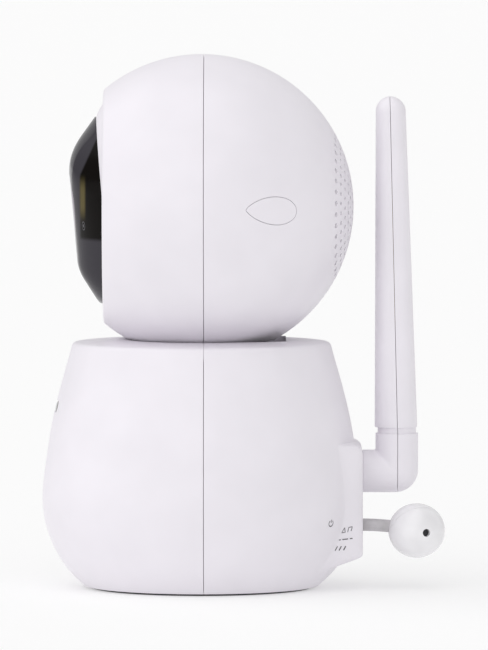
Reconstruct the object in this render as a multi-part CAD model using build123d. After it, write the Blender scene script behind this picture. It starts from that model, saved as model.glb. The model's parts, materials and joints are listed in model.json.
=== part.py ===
from build123d import *
import os
from math import acos, cos, pi, radians, sin, sqrt, tan

# Pan-and-tilt baby monitor camera.  Millimetres, +Z up, the lens faces -Y.
# The origin is on the base's axis, on the plane the rubber foot stands on.

# ---- driving dimensions -------------------------------------------------
HEAD_R = 36.0            # outer radius of the ball head
HEAD_Z = 90.4            # height of the ball's centre, which is the tilt axis
BASE_RIM_Z = 58.2        # outer rim of the base's top
DISH_R, DISH_RISE = 17.0, 0.9         # the top slopes up towards the dish
DISH_HOLE_R = 15.0
BASE_R = 37.7            # widest radius of the base
BASE_WIDE_Z = 20.9       # height of that widest radius
WALL = 2.0               # thickness of every outer casing
SEAM_Y = 0.6             # plane where front and rear casings meet
HEAD_GAP = 0.4           # air between the ball and the dish it turns in
FACE_Y = -23.2           # flat front of the ball, behind the face panel

TILT_LIMIT = 24.0        # degrees either way
FIT = 0.05               # radial clearance of a running fit

BLOCK_Y = 38.1           # flat connector face at the back of the base
BLOCK_HALF_X = 12.0
BLOCK_LOW_Z, BLOCK_TOP_Z = 8.5, 34.6
ANTENNA_Z = 27.6         # height of the antenna's pivot
ANTENNA_Y = 46.3         # distance back of the antenna's upright
ANTENNA_TOP_Z = 116.4
PROBE = Vector(5.2, 50.85, 13.8)     # centre of the temperature probe's bulb
SOCKET_Z = 15.1          # height of the inlet and of the probe's outlet

# ---- sizes worked out from them ------------------------------------------
HEAD_INNER_R = HEAD_R - WALL
PLATE_R, PLATE_Z = 27.5, 0.5          # bottom cover and its underside
FOOT_IN_R, FOOT_OUT_R = 21.5, 26.4
PLATE_SCREW_R = (FOOT_IN_R + FOOT_OUT_R) / 2
INSERT_R, INSERT_BORE_R, INSERT_Z = 5.0, 3.175, 0.3

DECK_Z, DECK_H, DECK_R = 44.0, 2.5, 28.0
POST_R, POST_RING_R = 2.5, 24.5
HUB_R = 6.45
BUSH_TOP_Z = DECK_Z + DECK_H + 0.9
GEAR_Z, GEAR_H = BUSH_TOP_Z + 0.15, 2.7
TURN_Z, TURN_TOP_Z, TURN_R = GEAR_Z + GEAR_H, 52.4, 19.0

MODULE = 0.5
PAN_TEETH, PAN_PINION_TEETH = 68, 14
TILT_TEETH, TILT_PINION_TEETH = 32, 12
PAN_MESH = MODULE * (PAN_TEETH + PAN_PINION_TEETH) / 2
TILT_MESH = MODULE * (TILT_TEETH + TILT_PINION_TEETH) / 2
PAN_MOTOR_R, TILT_MOTOR_R = 10.0, 7.0

POST_HALF_X, POST_HALF_Y = 6.5, 2.2        # yoke's neck
SLOT_HALF_X = 7.5                          # slot in the ball's underside
SLOT_ANGLE = TILT_LIMIT + 4.8              # and its reach either way, degrees
ARM_IN_X, ARM_OUT_X = 18.5, 21.5           # yoke's arms
CHEEK_IN_X, CHEEK_OUT_X = 22.8, 24.8       # head frame's cheeks
AXLE_R, BUSH_R = 2.5, 4.0

PLUG_Y = 18.6            # screw under each teardrop plug
PLUG_DZ = 0.1
PLUG_TIP_Y, PLUG_CREST_Y, PLUG_END_Y = 10.5, 18.2, 22.35
PLUG_HALF_H = 3.3
PLUG_DEPTH = 1.2

INDICATOR_W, INDICATOR_H, INDICATOR_Z = 13.0, 2.7, 43.2
BUTTON_R, BUTTON_X, BUTTON_Z = 1.9, 7.2, 21.0
REAR_BOARD_Y = 31.0
BOARD_SCREWS = ((-13, -8.6), (13, -8.6), (-13, 12), (13, 12))

PANEL_W, PANEL_H, PANEL_DZ = 46.0, 44.4, -0.9
PANEL_T = 1.6
WINDOW_R = 9.0
SENSOR_X, SENSOR_DZ = 15.5, -4.0           # light sensor behind the panel
LENS_DZ = -0.2

GRILLE_RINGS = (
    # ring radius, holes, hole radius, first hole's place as a share of a step
    (0.0, 1, 0.5, 0.0),
    (2.4, 7, 0.5, 0.0),
    (4.9, 14, 0.5, 0.5),
    (7.3, 20, 0.5, 0.0),
    (9.7, 26, 0.5, 0.5),
    (12.2, 34, 0.5, 0.0),
    (14.6, 40, 0.5, 0.5),
    (17.0, 40, 0.62, 0.5),
)


# ---- small helpers -------------------------------------------------------
def rod(r, z0, z1, x=0.0, y=0.0):
    """Upright solid cylinder between two heights."""
    return Pos(x, y, (z0 + z1) / 2) * Cylinder(r, z1 - z0)


def tube(r_out, r_in, z0, z1, x=0.0, y=0.0):
    """Upright ring between two heights."""
    return rod(r_out, z0, z1, x, y) - rod(r_in, z0 - 1, z1 + 1, x, y)


def rod_y(r, y0, y1, x=0.0, z=0.0):
    """Cylinder that lies along Y."""
    return Pos(x, (y0 + y1) / 2, z) * Rot(X=90) * Cylinder(r, y1 - y0)


def rod_x(r, x0, x1, y=0.0, z=0.0):
    """Cylinder that lies along X."""
    return Pos((x0 + x1) / 2, y, z) * Rot(Y=90) * Cylinder(r, x1 - x0)


def block(x0, x1, y0, y1, z0, z1):
    """Box between two corners."""
    return Pos((x0 + x1) / 2, (y0 + y1) / 2, (z0 + z1) / 2) * Box(x1 - x0, y1 - y0, z1 - z0)


def ball(r, z=HEAD_Z):
    return Pos(0, 0, z) * Sphere(r)


def side_prism(points, half_x, x=0.0):
    """Outline of (y, z) points carried across X, centred on x."""
    face = Plane.YZ * Polyline(*points, close=True)
    return Pos(x, 0, 0) * extrude(make_face(face), amount=half_x, both=True)


def join(shapes):
    """One group of separate solids."""
    return Compound(children=[s for shape in shapes for s in shape.solids()])


def polar(radius, degrees):
    return radius * cos(radians(degrees)), radius * sin(radians(degrees))


def spur_gear(teeth, height, bore, phase):
    """Involute gear on Z with 20 degree flanks; a tooth's middle is at the phase angle."""
    pitch_r = MODULE * teeth / 2
    base_r = pitch_r * cos(radians(20))
    tip_r = pitch_r + 0.9 * MODULE
    root_r = pitch_r - 1.2 * MODULE
    half = pi / (2 * teeth) - 0.03 * MODULE / pitch_r * 2
    inv20 = tan(radians(20)) - radians(20)

    def flank(r):
        a = acos(min(1.0, base_r / r))
        return half + inv20 - (tan(a) - a)

    start = max(base_r, root_r + 0.02)
    steps = [start + (tip_r - start) * i / 3 for i in range(4)]
    points = []
    for k in range(teeth):
        mid = radians(phase) + 2 * pi * k / teeth
        rise = [(root_r, -flank(start))] + [(r, -flank(r)) for r in steps]
        fall = [(r, -a) for r, a in reversed(rise)]
        points += [(r * cos(mid + a), r * sin(mid + a)) for r, a in rise + fall]
    gear = extrude(make_face(Polyline(*points, close=True)), amount=height)
    if bore:
        gear -= Pos(0, 0, height / 2) * Cylinder(bore, height + 2)
    return gear


# ---- base casing -----------------------------------------------------------
def base_points(inset):
    """Side of the base as (radius, height), moved inwards along its own normals."""
    side = [
        (27.8, 2.2),
        (31.4, 4.7),
        (35.2, 10.4),
        (37.2, 16.2),
        (BASE_R, BASE_WIDE_Z),
        (36.8, 30.5),
        (35.8, 37.1),
        (34.2, 44.7),
        (31.65, 54.0),
        (30.5, BASE_RIM_Z),
    ]
    moved = []
    for i, (r, z) in enumerate(side):
        r0, z0 = side[max(i - 1, 0)]
        r1, z1 = side[min(i + 1, len(side) - 1)]
        run = sqrt((r1 - r0) ** 2 + (z1 - z0) ** 2)
        moved.append((r - inset * (z1 - z0) / run, z + inset * (r1 - r0) / run))
    return moved


def base_turned(inset, top_z, bottom_z, rise=0.0):
    """Solid of revolution inside the base's side; its top may rise towards the middle."""
    side = base_points(inset)
    wall = Spline(*[(r, 0, z) for r, z in side])
    start, end = wall @ 0, wall @ 1
    outline = [
        wall,
        Line(end, (end.X, 0, top_z)) if abs(end.Z - top_z) > 0.01 else None,
        Line((end.X, 0, top_z), (DISH_R, 0, top_z + rise)),
        Line((DISH_R, 0, top_z + rise), (0, 0, top_z + rise)),
        Line((0, 0, top_z + rise), (0, 0, bottom_z)),
        Line((0, 0, bottom_z), (start.X, 0, bottom_z)),
        Line((start.X, 0, bottom_z), start) if abs(start.Z - bottom_z) > 0.01 else None,
    ]
    return revolve(make_face([e for e in outline if e]), Axis.Z)


def connector_block(inset):
    """Flat-backed block that carries the antenna, the inlet and the probe."""
    d = inset
    outline = [
        (18.0, 5.6 + d),
        (31.0, 5.6 + d),
        (BLOCK_Y - 0.7 - d, BLOCK_LOW_Z - 0.7 + d),
        (BLOCK_Y - d, BLOCK_LOW_Z + d),
        (BLOCK_Y - d, BLOCK_TOP_Z - 2.0 - d),
        (BLOCK_Y - 0.5 - d, BLOCK_TOP_Z - 0.7 - d),
        (BLOCK_Y - 1.8 - d, BLOCK_TOP_Z - d),
        (18.0, BLOCK_TOP_Z - d),
    ]
    solid = side_prism(outline, BLOCK_HALF_X - d)
    upright = solid.edges().filter_by(Axis.Z).sort_by(Axis.Y)[-2:]
    return fillet(upright, 1.6 if inset == 0 else 0.6)


def base_outer():
    body = base_turned(0.0, BASE_RIM_Z, 2.2, DISH_RISE)
    rim = body.edges().filter_by(GeomType.CIRCLE).sort_by(SortBy.RADIUS)[-1]
    body = fillet(rim, 1.2)
    return body + connector_block(0.0)


def base_shells():
    outer = base_outer()
    hollow = base_turned(WALL, BASE_RIM_Z - WALL, 0.0) + connector_block(WALL)
    hollow += rod(DISH_HOLE_R, BASE_RIM_Z - WALL - 1.0, 62.0)
    shell = outer - hollow - rod(PLATE_R + 0.2, -1, 5.0) - ball(HEAD_R + HEAD_GAP)
    for k in range(4):
        angle = 45 + 90 * k
        x, y = polar(PLATE_SCREW_R, angle)
        boss = rod(3.0, 3.1, 9.5, x, y)
        rib = Rot(Z=angle) * block(PLATE_SCREW_R, 34.0, -1.2, 1.2, 4.4, 9.5)
        shell += (boss + rib) & outer
        shell -= rod(0.9, 2.0, 8.5, x, y)
    # openings in the connector face
    shell -= rod_y(3.0, 30, 45, 0, ANTENNA_Z)
    shell -= rod_y(3.3, 30, 45, PROBE.X, SOCKET_Z)
    shell -= fillet(block(-9.6, 0.2, 34, 45, SOCKET_Z - 1.9, SOCKET_Z + 1.9).edges().filter_by(Axis.Y), 1.8)
    for x in (-BUTTON_X, BUTTON_X):
        shell -= rod_y(BUTTON_R + 0.2, 30, 45, x, BUTTON_Z)
    shell -= rod_y(0.6, 30, 45, -4.7, 12.0)
    shell -= indicator_prism(0.15) & (outer - base_turned(1.3, 70.0, 0.0))
    front = shell & block(-60, 60, -60, SEAM_Y, -5, 70)
    rear = shell & block(-60, 60, SEAM_Y, 60, -5, 70)
    return {"base_front_shell": front, "base_rear_shell": rear}


def indicator_prism(gap):
    """Pill-shaped window on the front of the base, carried along Y."""
    pill = Plane.XZ * SlotOverall(INDICATOR_W + 2 * gap, INDICATOR_H + 2 * gap)
    return Pos(0, -20, INDICATOR_Z) * extrude(pill, amount=30)


def base_bottom():
    plate = rod(PLATE_R, PLATE_Z, 3.0) + rod(8.0, INSERT_Z, 10.0)
    plate = plate - tube(FOOT_OUT_R + 0.1, FOOT_IN_R - 0.1, PLATE_Z - 0.1, 1.2)
    plate -= rod(INSERT_R, 0, 9.3)
    screws = []
    for k in range(4):
        x, y = polar(PLATE_SCREW_R, 45 + 90 * k)
        plate -= rod(2.1, 1.0, 2.4, x, y) + rod(1.1, 2.0, 4.0, x, y)
        screws.append(rod(1.9, 1.25, 2.4, x, y) + rod(0.9, 2.4, 8.0, x, y))
    for k in range(3):
        x, y = polar(POST_RING_R, 60 + 120 * k)
        plate += rod(POST_R, 3.0, DECK_Z, x, y) - rod(0.8, 36, 50, x, y)
        top = DECK_Z + DECK_H
        screws.append(rod(1.9, top, top + 0.9, x, y) + rod(0.8, DECK_Z - 7, top, x, y))
    foot = tube(FOOT_OUT_R, FOOT_IN_R, 0.0, 1.2)
    insert = tube(INSERT_R, INSERT_BORE_R, INSERT_Z, 9.3)
    return {
        "base_plate": plate,
        "foot_ring": foot,
        "base_screws": join(screws),
        "tripod_insert": insert,
    }


def electronics():
    board = rod(28.5, 11.0, 12.6) - rod(5.0, 10, 14)
    for k in range(3):
        x, y = polar(POST_RING_R, 60 + 120 * k)
        board -= rod(POST_R + 0.3, 10, 14, x, y)
    board -= block(-40, 40, 27.0, 40, 10, 14)
    chips = [
        block(8, 16, -14, -6, 12.6, 13.8),
        block(6, 12, 8, 16, 12.6, 13.6),
        block(-18, -13, 8, 13, 12.6, 14.0),
        block(17, 22, -2, 3, 12.6, 14.8),
        rod(3.0, 12.6, 18.5, -19, -12),
    ]
    shield = block(-12, 5, -20, -6, 12.6, 15.0) - block(-11.7, 4.7, -19.7, -6.3, 12.5, 14.7)
    y = REAR_BOARD_Y
    rear_board = block(-9.4, 9.4, y, y + 1.6, 10.6, 23.6) - rod_y(2.0, y - 1, y + 3, PROBE.X, SOCKET_Z)
    socket = block(-9.2, -0.2, y + 1.6, BLOCK_Y - 0.1, SOCKET_Z - 1.6, SOCKET_Z + 1.6)
    socket = fillet(socket.edges().filter_by(Axis.Y), 1.5)
    socket -= block(-8.7, -0.7, y + 2.6, 45, SOCKET_Z - 1.2, SOCKET_Z + 1.2)
    socket += block(-8.0, -1.4, y + 2.0, BLOCK_Y - 0.9, SOCKET_Z - 0.35, SOCKET_Z + 0.35)
    switches = []
    for x in (-BUTTON_X, BUTTON_X):
        body = block(x - 1.6, x + 1.6, y + 1.6, y + 3.0, BUTTON_Z - 2.2, BUTTON_Z + 2.2)
        switches.append(body + rod_y(0.9, y + 3.0, BLOCK_Y - 3.5, x, BUTTON_Z))
    mic = rod_y(2.0, -30.9, -28.9, 0, INDICATOR_Z)
    skin = base_outer() - base_turned(1.2, 70.0, 0.0)
    return {
        "main_board": board,
        "board_chips": join(chips),
        "rf_shield": shield,
        "rear_board": rear_board,
        "usb_socket": socket,
        "button_switches": join(switches),
        "microphone": mic,
        "indicator_window": indicator_prism(0.0) & skin,
    }


def buttons():
    caps = {}
    for name, x in (("power_button", BUTTON_X), ("pair_button", -BUTTON_X)):
        cap = rod_y(BUTTON_R, BLOCK_Y - 2.7, BLOCK_Y + 0.5, x, BUTTON_Z)
        cap = fillet(cap.edges().sort_by(Axis.Y)[-1], 0.35)
        caps[name] = cap + rod_y(BUTTON_R + 0.7, BLOCK_Y - 2.8, BLOCK_Y - 2.15, x, BUTTON_Z)
    return caps


# ---- pan drive -------------------------------------------------------------
def pan_drive():
    deck = rod(DECK_R, DECK_Z, DECK_Z + DECK_H) - rod(8.0, DECK_Z - 1, DECK_Z + DECK_H + 1)
    deck -= rod(4.2, DECK_Z - 1, DECK_Z + DECK_H + 1, PAN_MESH)
    for k in range(3):
        x, y = polar(POST_RING_R, 60 + 120 * k)
        deck -= rod(1.1, DECK_Z - 1, DECK_Z + DECK_H + 1, x, y)
    bush = tube(8.0, HUB_R + FIT, DECK_Z - 0.5, DECK_Z + DECK_H)
    bush += tube(10.5, HUB_R + FIT, DECK_Z + DECK_H, BUSH_TOP_Z)
    motor = rod(PAN_MOTOR_R, 28.0, DECK_Z, PAN_MESH) + rod(3.6, DECK_Z, DECK_Z + 1.6, PAN_MESH)
    motor -= rod(1.0 + FIT, 38.0, 60, PAN_MESH)
    for y in (-PAN_MOTOR_R - 1.2, PAN_MOTOR_R + 1.2):
        lug = rod(2.6, DECK_Z - 1.0, DECK_Z, PAN_MESH, y) + block(
            PAN_MESH - 2.6, PAN_MESH + 2.6, min(y, 0), max(y, 0), DECK_Z - 1.0, DECK_Z)
        motor += lug - rod(1.0 + FIT, 38.0, 60, PAN_MESH)
    teeth = spur_gear(PAN_PINION_TEETH, GEAR_H - 0.3, 0, 180 + 180 / PAN_PINION_TEETH)
    pinion = Pos(PAN_MESH, 0, GEAR_Z + 0.15) * teeth + rod(1.0, 38.4, GEAR_Z + 1.0, PAN_MESH)
    return {
        "pan_deck": deck,
        "pan_bush": bush,
        "pan_motor": motor,
        "pan_pinion": pinion,
    }


def turntable():
    hub_bottom = DECK_Z - 3.4
    disc = rod(TURN_R, TURN_Z, TURN_TOP_Z) + rod(HUB_R, hub_bottom, TURN_Z)
    disc -= rod(4.2, hub_bottom - 1, TURN_TOP_Z + 1)
    gear = Pos(0, 0, GEAR_Z) * spur_gear(PAN_TEETH, GEAR_H, HUB_R, 0)
    retainer = tube(9.0, HUB_R, DECK_Z - 2.2, DECK_Z - 0.8)
    foot_top = TURN_TOP_Z + 1.6
    bar_z = HEAD_Z - 24.0
    yoke = block(-12.5, 12.5, -6, 6, TURN_TOP_Z, foot_top)
    yoke += block(-POST_HALF_X, POST_HALF_X, -POST_HALF_Y, POST_HALF_Y, foot_top, bar_z)
    yoke += block(-ARM_OUT_X, ARM_OUT_X, -4, 4, bar_z, bar_z + 3)
    motor_wall = block(12.4, 14.0, -8, 8, bar_z, HEAD_Z - 2.5)
    yoke += motor_wall - rod_x(2.6, 10, 16, 0, HEAD_Z - TILT_MESH)
    for side in (-1, 1):
        x0, x1 = sorted((side * ARM_IN_X, side * ARM_OUT_X))
        arm = block(x0, x1, -4.6, 4.6, bar_z, HEAD_Z) + rod_x(6.0, x0, x1, 0, HEAD_Z)
        arm -= rod_x(BUSH_R, x0 - 1, x1 + 1, 0, HEAD_Z)
        yoke += arm & (ball(33.2))
    yoke -= block(-3.6, 3.6, -0.9, 0.9, TURN_TOP_Z - 1, bar_z + 4)
    screws = []
    for x in (-9.8, 9.8):
        yoke -= rod(1.8, foot_top - 0.9, foot_top + 1, x) + rod(1.0, TURN_TOP_Z - 1, foot_top, x)
        disc -= rod(0.8, TURN_TOP_Z - 1.6, TURN_TOP_Z + 1, x)
        screws.append(rod(1.7, foot_top - 0.9, foot_top, x) + rod(0.8, TURN_TOP_Z - 1.6, foot_top - 0.9, x))
    bushes = [
        rod_x(BUSH_R, ARM_IN_X - 0.3, ARM_OUT_X + 0.3, 0, HEAD_Z)
        - rod_x(AXLE_R + FIT, ARM_IN_X - 1, ARM_OUT_X + 1, 0, HEAD_Z)
    ]
    bushes.append(mirror(bushes[0], Plane.YZ))
    shaft_z = HEAD_Z - TILT_MESH
    motor = rod_x(TILT_MOTOR_R, 1.6, 12.4, 0, shaft_z) + rod_x(2.4, 12.4, 13.9, 0, shaft_z)
    motor -= rod_x(0.9 + FIT, 8.0, 20, 0, shaft_z)
    teeth = Rot(Y=90) * spur_gear(TILT_PINION_TEETH, 2.8, 0, 180 + 180 / TILT_PINION_TEETH)
    pinion = Pos(14.5, 0, shaft_z) * teeth + rod_x(0.9, 8.4, 15.5, 0, shaft_z)
    ribbon = block(-3.2, 3.2, -0.35, 0.35, DECK_Z - 5, bar_z + 5)
    return {
        "turntable": disc,
        "pan_gear": gear,
        "pan_retainer": retainer,
        "yoke": yoke,
        "yoke_screws": join(screws),
        "tilt_bushes": join(bushes),
        "tilt_motor": motor,
        "camera_ribbon": ribbon,
        "tilt_pinion": pinion,
    }


# ---- head ------------------------------------------------------------------
def face_outline(grow):
    """Rounded outline of the face panel, on the plane of the flat front."""
    w, h = PANEL_W + 2 * grow, PANEL_H + 2 * grow
    return RectangleRounded(w, h, 0.42 * h)


def face_plane(y, tilt=0.0, dz=0.0):
    """Plane that looks out of the front, turned by tilt degrees about X."""
    return Plane(origin=(0, y, HEAD_Z + PANEL_DZ + dz), x_dir=(1, 0, 0),
                 z_dir=(0, -cos(radians(tilt)), sin(radians(tilt))))


def face_dome(inset):
    """Faceted dome of the face: straight flanks up to a smaller, leaning front."""
    back = face_plane(FACE_Y) * face_outline(-inset)
    lean = face_plane(-29.9 + inset, tilt=-5.3, dz=-2.2)
    front = lean * RectangleRounded(27.0 - 1.2 * inset, 24.6 - 1.2 * inset, 8.5)
    return loft([back, front])


def brow():
    """Hood over the top of the face panel, thinning out down both sides."""
    rear = face_plane(FACE_Y) * face_outline(3.2)
    lip = face_plane(FACE_Y - 1.9) * face_outline(0.15)
    hood = loft([rear, lip])
    keep = [
        (FACE_Y + 1.0, HEAD_Z + 1.6),
        (FACE_Y, HEAD_Z + 1.6),
        (FACE_Y - 1.95, HEAD_Z + 21.0),
        (FACE_Y - 1.95, HEAD_Z + 30.0),
        (FACE_Y + 1.0, HEAD_Z + 30.0),
    ]
    return hood & side_prism(keep, 40)


def teardrop(gap):
    """Teardrop across X on both sides: a round end and a tip that points forwards."""
    z = HEAD_Z + PLUG_DZ
    tip, end, crest = PLUG_TIP_Y - gap, PLUG_END_Y + gap, PLUG_HALF_H + gap
    bulge_y, bulge_z = PLUG_TIP_Y + 3.2, 2.35 + gap
    outline = [
        ThreePointArc((0, tip, z), (0, bulge_y, z + bulge_z), (0, PLUG_CREST_Y, z + crest)),
        ThreePointArc((0, PLUG_CREST_Y, z + crest), (0, end, z), (0, PLUG_CREST_Y, z - crest)),
        ThreePointArc((0, PLUG_CREST_Y, z - crest), (0, bulge_y, z - bulge_z), (0, tip, z)),
    ]
    return extrude(make_face(outline), amount=60, both=True)



def grille_holes():
    """Concentric rings of sound holes about the rear pole."""
    centres = []
    for ring_r, count, hole_r, start in GRILLE_RINGS:
        for k in range(count):
            angle = 2 * pi * (k + start) / count
            centres.append((ring_r * cos(angle), ring_r * sin(angle), hole_r))
    sketch = Sketch() + [Pos(x, z) * Circle(r) for x, z, r in centres]
    return extrude(Plane(origin=(0, 40, HEAD_Z), x_dir=(1, 0, 0), z_dir=(0, -1, 0)) * sketch, amount=15)


def head_shells():
    outer = ball(HEAD_R) - block(-50, 50, -60, FACE_Y, 40, 140)
    inner = ball(HEAD_INNER_R) - block(-50, 50, -60, FACE_Y + WALL, 40, 140)
    opening = extrude(face_plane(FACE_Y + WALL + 1) * face_outline(0.15), amount=8)
    shell = outer - inner + (brow() - inner) - opening
    reach = 60 * tan(radians(SLOT_ANGLE))
    slot = side_prism([(0, HEAD_Z), (-reach, HEAD_Z - 60), (reach, HEAD_Z - 60)], SLOT_HALF_X)
    shell -= slot
    # ring that holds the speaker, and a boss under each plug
    collar = rod_y(19.6, 24.0, 34.0, 0, HEAD_Z) - rod_y(18.4, 20, 40, 0, HEAD_Z)
    shell += collar & ball(HEAD_INNER_R + 0.5)
    screw_z = HEAD_Z + PLUG_DZ
    for side in (-1, 1):
        x0, x1 = sorted((side * CHEEK_OUT_X, side * 30.0))
        shell += rod_x(3.0, x0, x1, PLUG_Y, screw_z) & ball(HEAD_INNER_R + 0.5)
        shell -= rod_x(1.1, x0 - 1, x1 + 3, PLUG_Y, screw_z)
        c0, c1 = sorted((side * 26.9, side * 33.0))
        shell -= rod_x(2.2, c0, c1, PLUG_Y, screw_z)
    recess = teardrop(0.12) - ball(HEAD_R - PLUG_DEPTH)
    shell -= recess
    front = shell & block(-50, 50, -60, SEAM_Y, 40, 140)
    rear = (shell & block(-50, 50, SEAM_Y, 60, 40, 140)) - grille_holes()
    plugs = teardrop(0.0) & (ball(HEAD_R) - ball(HEAD_R - PLUG_DEPTH + 0.02))
    screws = []
    for side in (-1, 1):
        h0, h1 = sorted((side * 26.9, side * 27.8))
        s0, s1 = sorted((side * 21.9, side * 26.9))
        screws.append(rod_x(2.0, h0, h1, PLUG_Y, screw_z) + rod_x(1.0, s0, s1, PLUG_Y, screw_z))
    for x, dz in BOARD_SCREWS:
        z = HEAD_Z + dz
        screws.append(rod_y(1.6, -19.0, -18.0, x, z) + rod_y(0.8, -18.0, -14.9, x, z))
    return {
        "head_front_shell": front,
        "head_rear_shell": rear,
        "side_plugs": join([plugs]),
        "head_screws": join(screws),
    }


def face_parts():
    dome = face_dome(0.0) - face_dome(PANEL_T)
    rim = extrude(face_plane(FACE_Y + WALL) * face_outline(0.0), amount=WALL)
    rim -= extrude(face_plane(FACE_Y + WALL + 1) * face_outline(-PANEL_T), amount=WALL + 2)
    lens_z = HEAD_Z + LENS_DZ
    bore = rod_y(WINDOW_R, -40, -20, 0, lens_z)
    window = (face_dome(0.0) - face_dome(PANEL_T)) & rod_y(WINDOW_R - 0.05, -40, -20, 0, lens_z)
    barrel = rod_y(6.5, -26.0, -19.2, 0, lens_z) - rod_y(5.2, -27, -21, 0, lens_z)
    barrel += rod_y(7.4, -22.4, -20.8, 0, lens_z) - rod_y(5.2, -27, -21, 0, lens_z)
    dome_r = 9.0
    glass = rod_y(5.2, -25.6, -23.0, 0, lens_z) & (Pos(0, -25.6 + dome_r, lens_z) * Sphere(dome_r))
    ir_board = rod_y(15.0, -23.4, -22.6, 0, lens_z) - rod_y(8.4, -24, -22, 0, lens_z)
    ir_board += rod_y(1.8, -23.4, -22.6, SENSOR_X, HEAD_Z + SENSOR_DZ)
    leds = []
    for k in range(8):
        x, z = polar(11.8, 22.5 + 45 * k)
        leds.append(rod_y(1.4, -25.2, -23.4, x, lens_z + z))
    sensor = rod_y(1.2, -24.8, -23.4, SENSOR_X, HEAD_Z + SENSOR_DZ)
    board = block(-15, 15, -18.0, -16.4, HEAD_Z - 10.5, HEAD_Z + 14)
    chip = block(-5, 5, -19.2, -18.0, lens_z - 5, lens_z + 5)
    for x, dz in BOARD_SCREWS:
        board -= rod_y(0.8, -19, -16, x, HEAD_Z + dz)
    return {
        "face_panel": dome + rim - bore,
        "lens_window": window,
        "lens_barrel": barrel,
        "lens_glass": glass,
        "ir_board": ir_board,
        "ir_leds": join(leds),
        "light_sensor": sensor,
        "head_board": board,
        "image_sensor": chip,
    }


def head_frame_parts():
    frame = block(-CHEEK_OUT_X, CHEEK_OUT_X, -16.4, -14.9, HEAD_Z - 10, HEAD_Z + 13)
    frame -= block(-10, 10, -17, -14, HEAD_Z - 6, HEAD_Z + 9)
    for side in (-1, 1):
        x0, x1 = sorted((side * CHEEK_IN_X, side * CHEEK_OUT_X))
        cheek = block(x0, x1, -14.9, 21.5, HEAD_Z - 6, HEAD_Z + 6)
        cheek -= rod_x(AXLE_R, x0 - 1, x1 + 1, 0, HEAD_Z)
        cheek -= rod_x(1.0, x0 - 1, x1 + 1, PLUG_Y, HEAD_Z + PLUG_DZ)
        frame += cheek
    for x, dz in BOARD_SCREWS:
        frame -= rod_y(0.8, -18, -14, x, HEAD_Z + dz)
    axles = [
        rod_x(AXLE_R, 14.6, CHEEK_OUT_X, 0, HEAD_Z),
        rod_x(AXLE_R, -CHEEK_OUT_X, -17.6, 0, HEAD_Z),
    ]
    gear = Pos(14.8, 0, HEAD_Z) * Rot(Y=90) * spur_gear(TILT_TEETH, 2.4, AXLE_R, 0)
    return {"head_frame": frame, "tilt_axles": join(axles), "tilt_gear": gear}


def speaker():
    z = HEAD_Z
    basket = rod_y(18.0, 25.6, 27.6, 0, z) - rod_y(16.4, 20, 30, 0, z)
    bowl = Pos(0, 22.8, z) * Rot(X=-90) * Cone(9.6, 18.0, 5.6)
    bowl -= Pos(0, 22.8, z) * Rot(X=-90) * Cone(8.8, 17.0, 5.7)
    basket += bowl
    basket += rod_y(9.6, 19.2, 20.0, 0, z)
    magnet = rod_y(9.0, 14.2, 19.2, 0, z)
    cone = Pos(0, 24.1, z) * Rot(X=-90) * Cone(4.0, 15.4, 5.4)
    cone -= Pos(0, 24.6, z) * Rot(X=-90) * Cone(4.0, 15.4, 5.4)
    cone += Pos(0, 23.6, z) * Sphere(4.2) & block(-5, 5, 22.0, 30, z - 5, z + 5)
    mesh = rod_y(18.2, 27.9, 28.3, 0, z)
    return {
        "speaker_basket": basket,
        "speaker_magnet": magnet,
        "speaker_cone": cone,
        "speaker_mesh": mesh,
    }


# ---- antenna ---------------------------------------------------------------
def antenna():
    r = 5.05
    elbow = rod_y(r, BLOCK_Y + 0.2, ANTENNA_Y, 0, ANTENNA_Z)
    elbow += Pos(0, ANTENNA_Y, ANTENNA_Z) * Sphere(r)
    elbow += rod(r, ANTENNA_Z, 37.3, 0, ANTENNA_Y)
    elbow += rod(r - 0.5, 37.3, 38.0, 0, ANTENNA_Y)
    elbow += rod_y(3.0 - FIT, 33.0, BLOCK_Y + 0.2, 0, ANTENNA_Z)
    elbow -= rod_y(1.2, 32, 44, 0, ANTENNA_Z)
    z0, z1 = 38.0, ANTENNA_TOP_Z
    front_y, back_low, back_high, corner = 41.05, 51.15, 48.5, 3.2
    outline = Plane.YZ * Polyline(
        (front_y, z0), (back_low, z0), (back_high, z1), (front_y, z1), close=True)
    face = make_face(outline)
    face = fillet(face.vertices().sort_by(Axis.Z)[-2:], corner)
    blade = extrude(face, amount=5.5, both=True)
    blade = fillet(blade.edges().filter_by(lambda e: e.length > 60), 3.0)
    cavity = block(-3.6, 3.6, 44.2, 46.8, 42.0, 109.0)
    blade -= cavity
    seam = side_prism([(30, z0 - 5), (46.35, z0 - 5), (44.5, z1 + 5), (30, z1 + 5)], 20)
    element = block(-3.2, 3.2, 45.0, 45.8, 44.0, 107.0)
    clip = rod_y(3.7, 34.5, 35.8, 0, ANTENNA_Z) - rod_y(3.0 - FIT, 34, 37, 0, ANTENNA_Z)
    coax = rod_y(0.9, 20.0, 42.0, 0, ANTENNA_Z)
    return {
        "antenna_elbow": elbow,
        "antenna_blade_front": blade & seam,
        "antenna_blade_rear": blade - seam,
        "antenna_element": element,
        "antenna_clip": clip,
        "antenna_coax": coax,
    }


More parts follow.
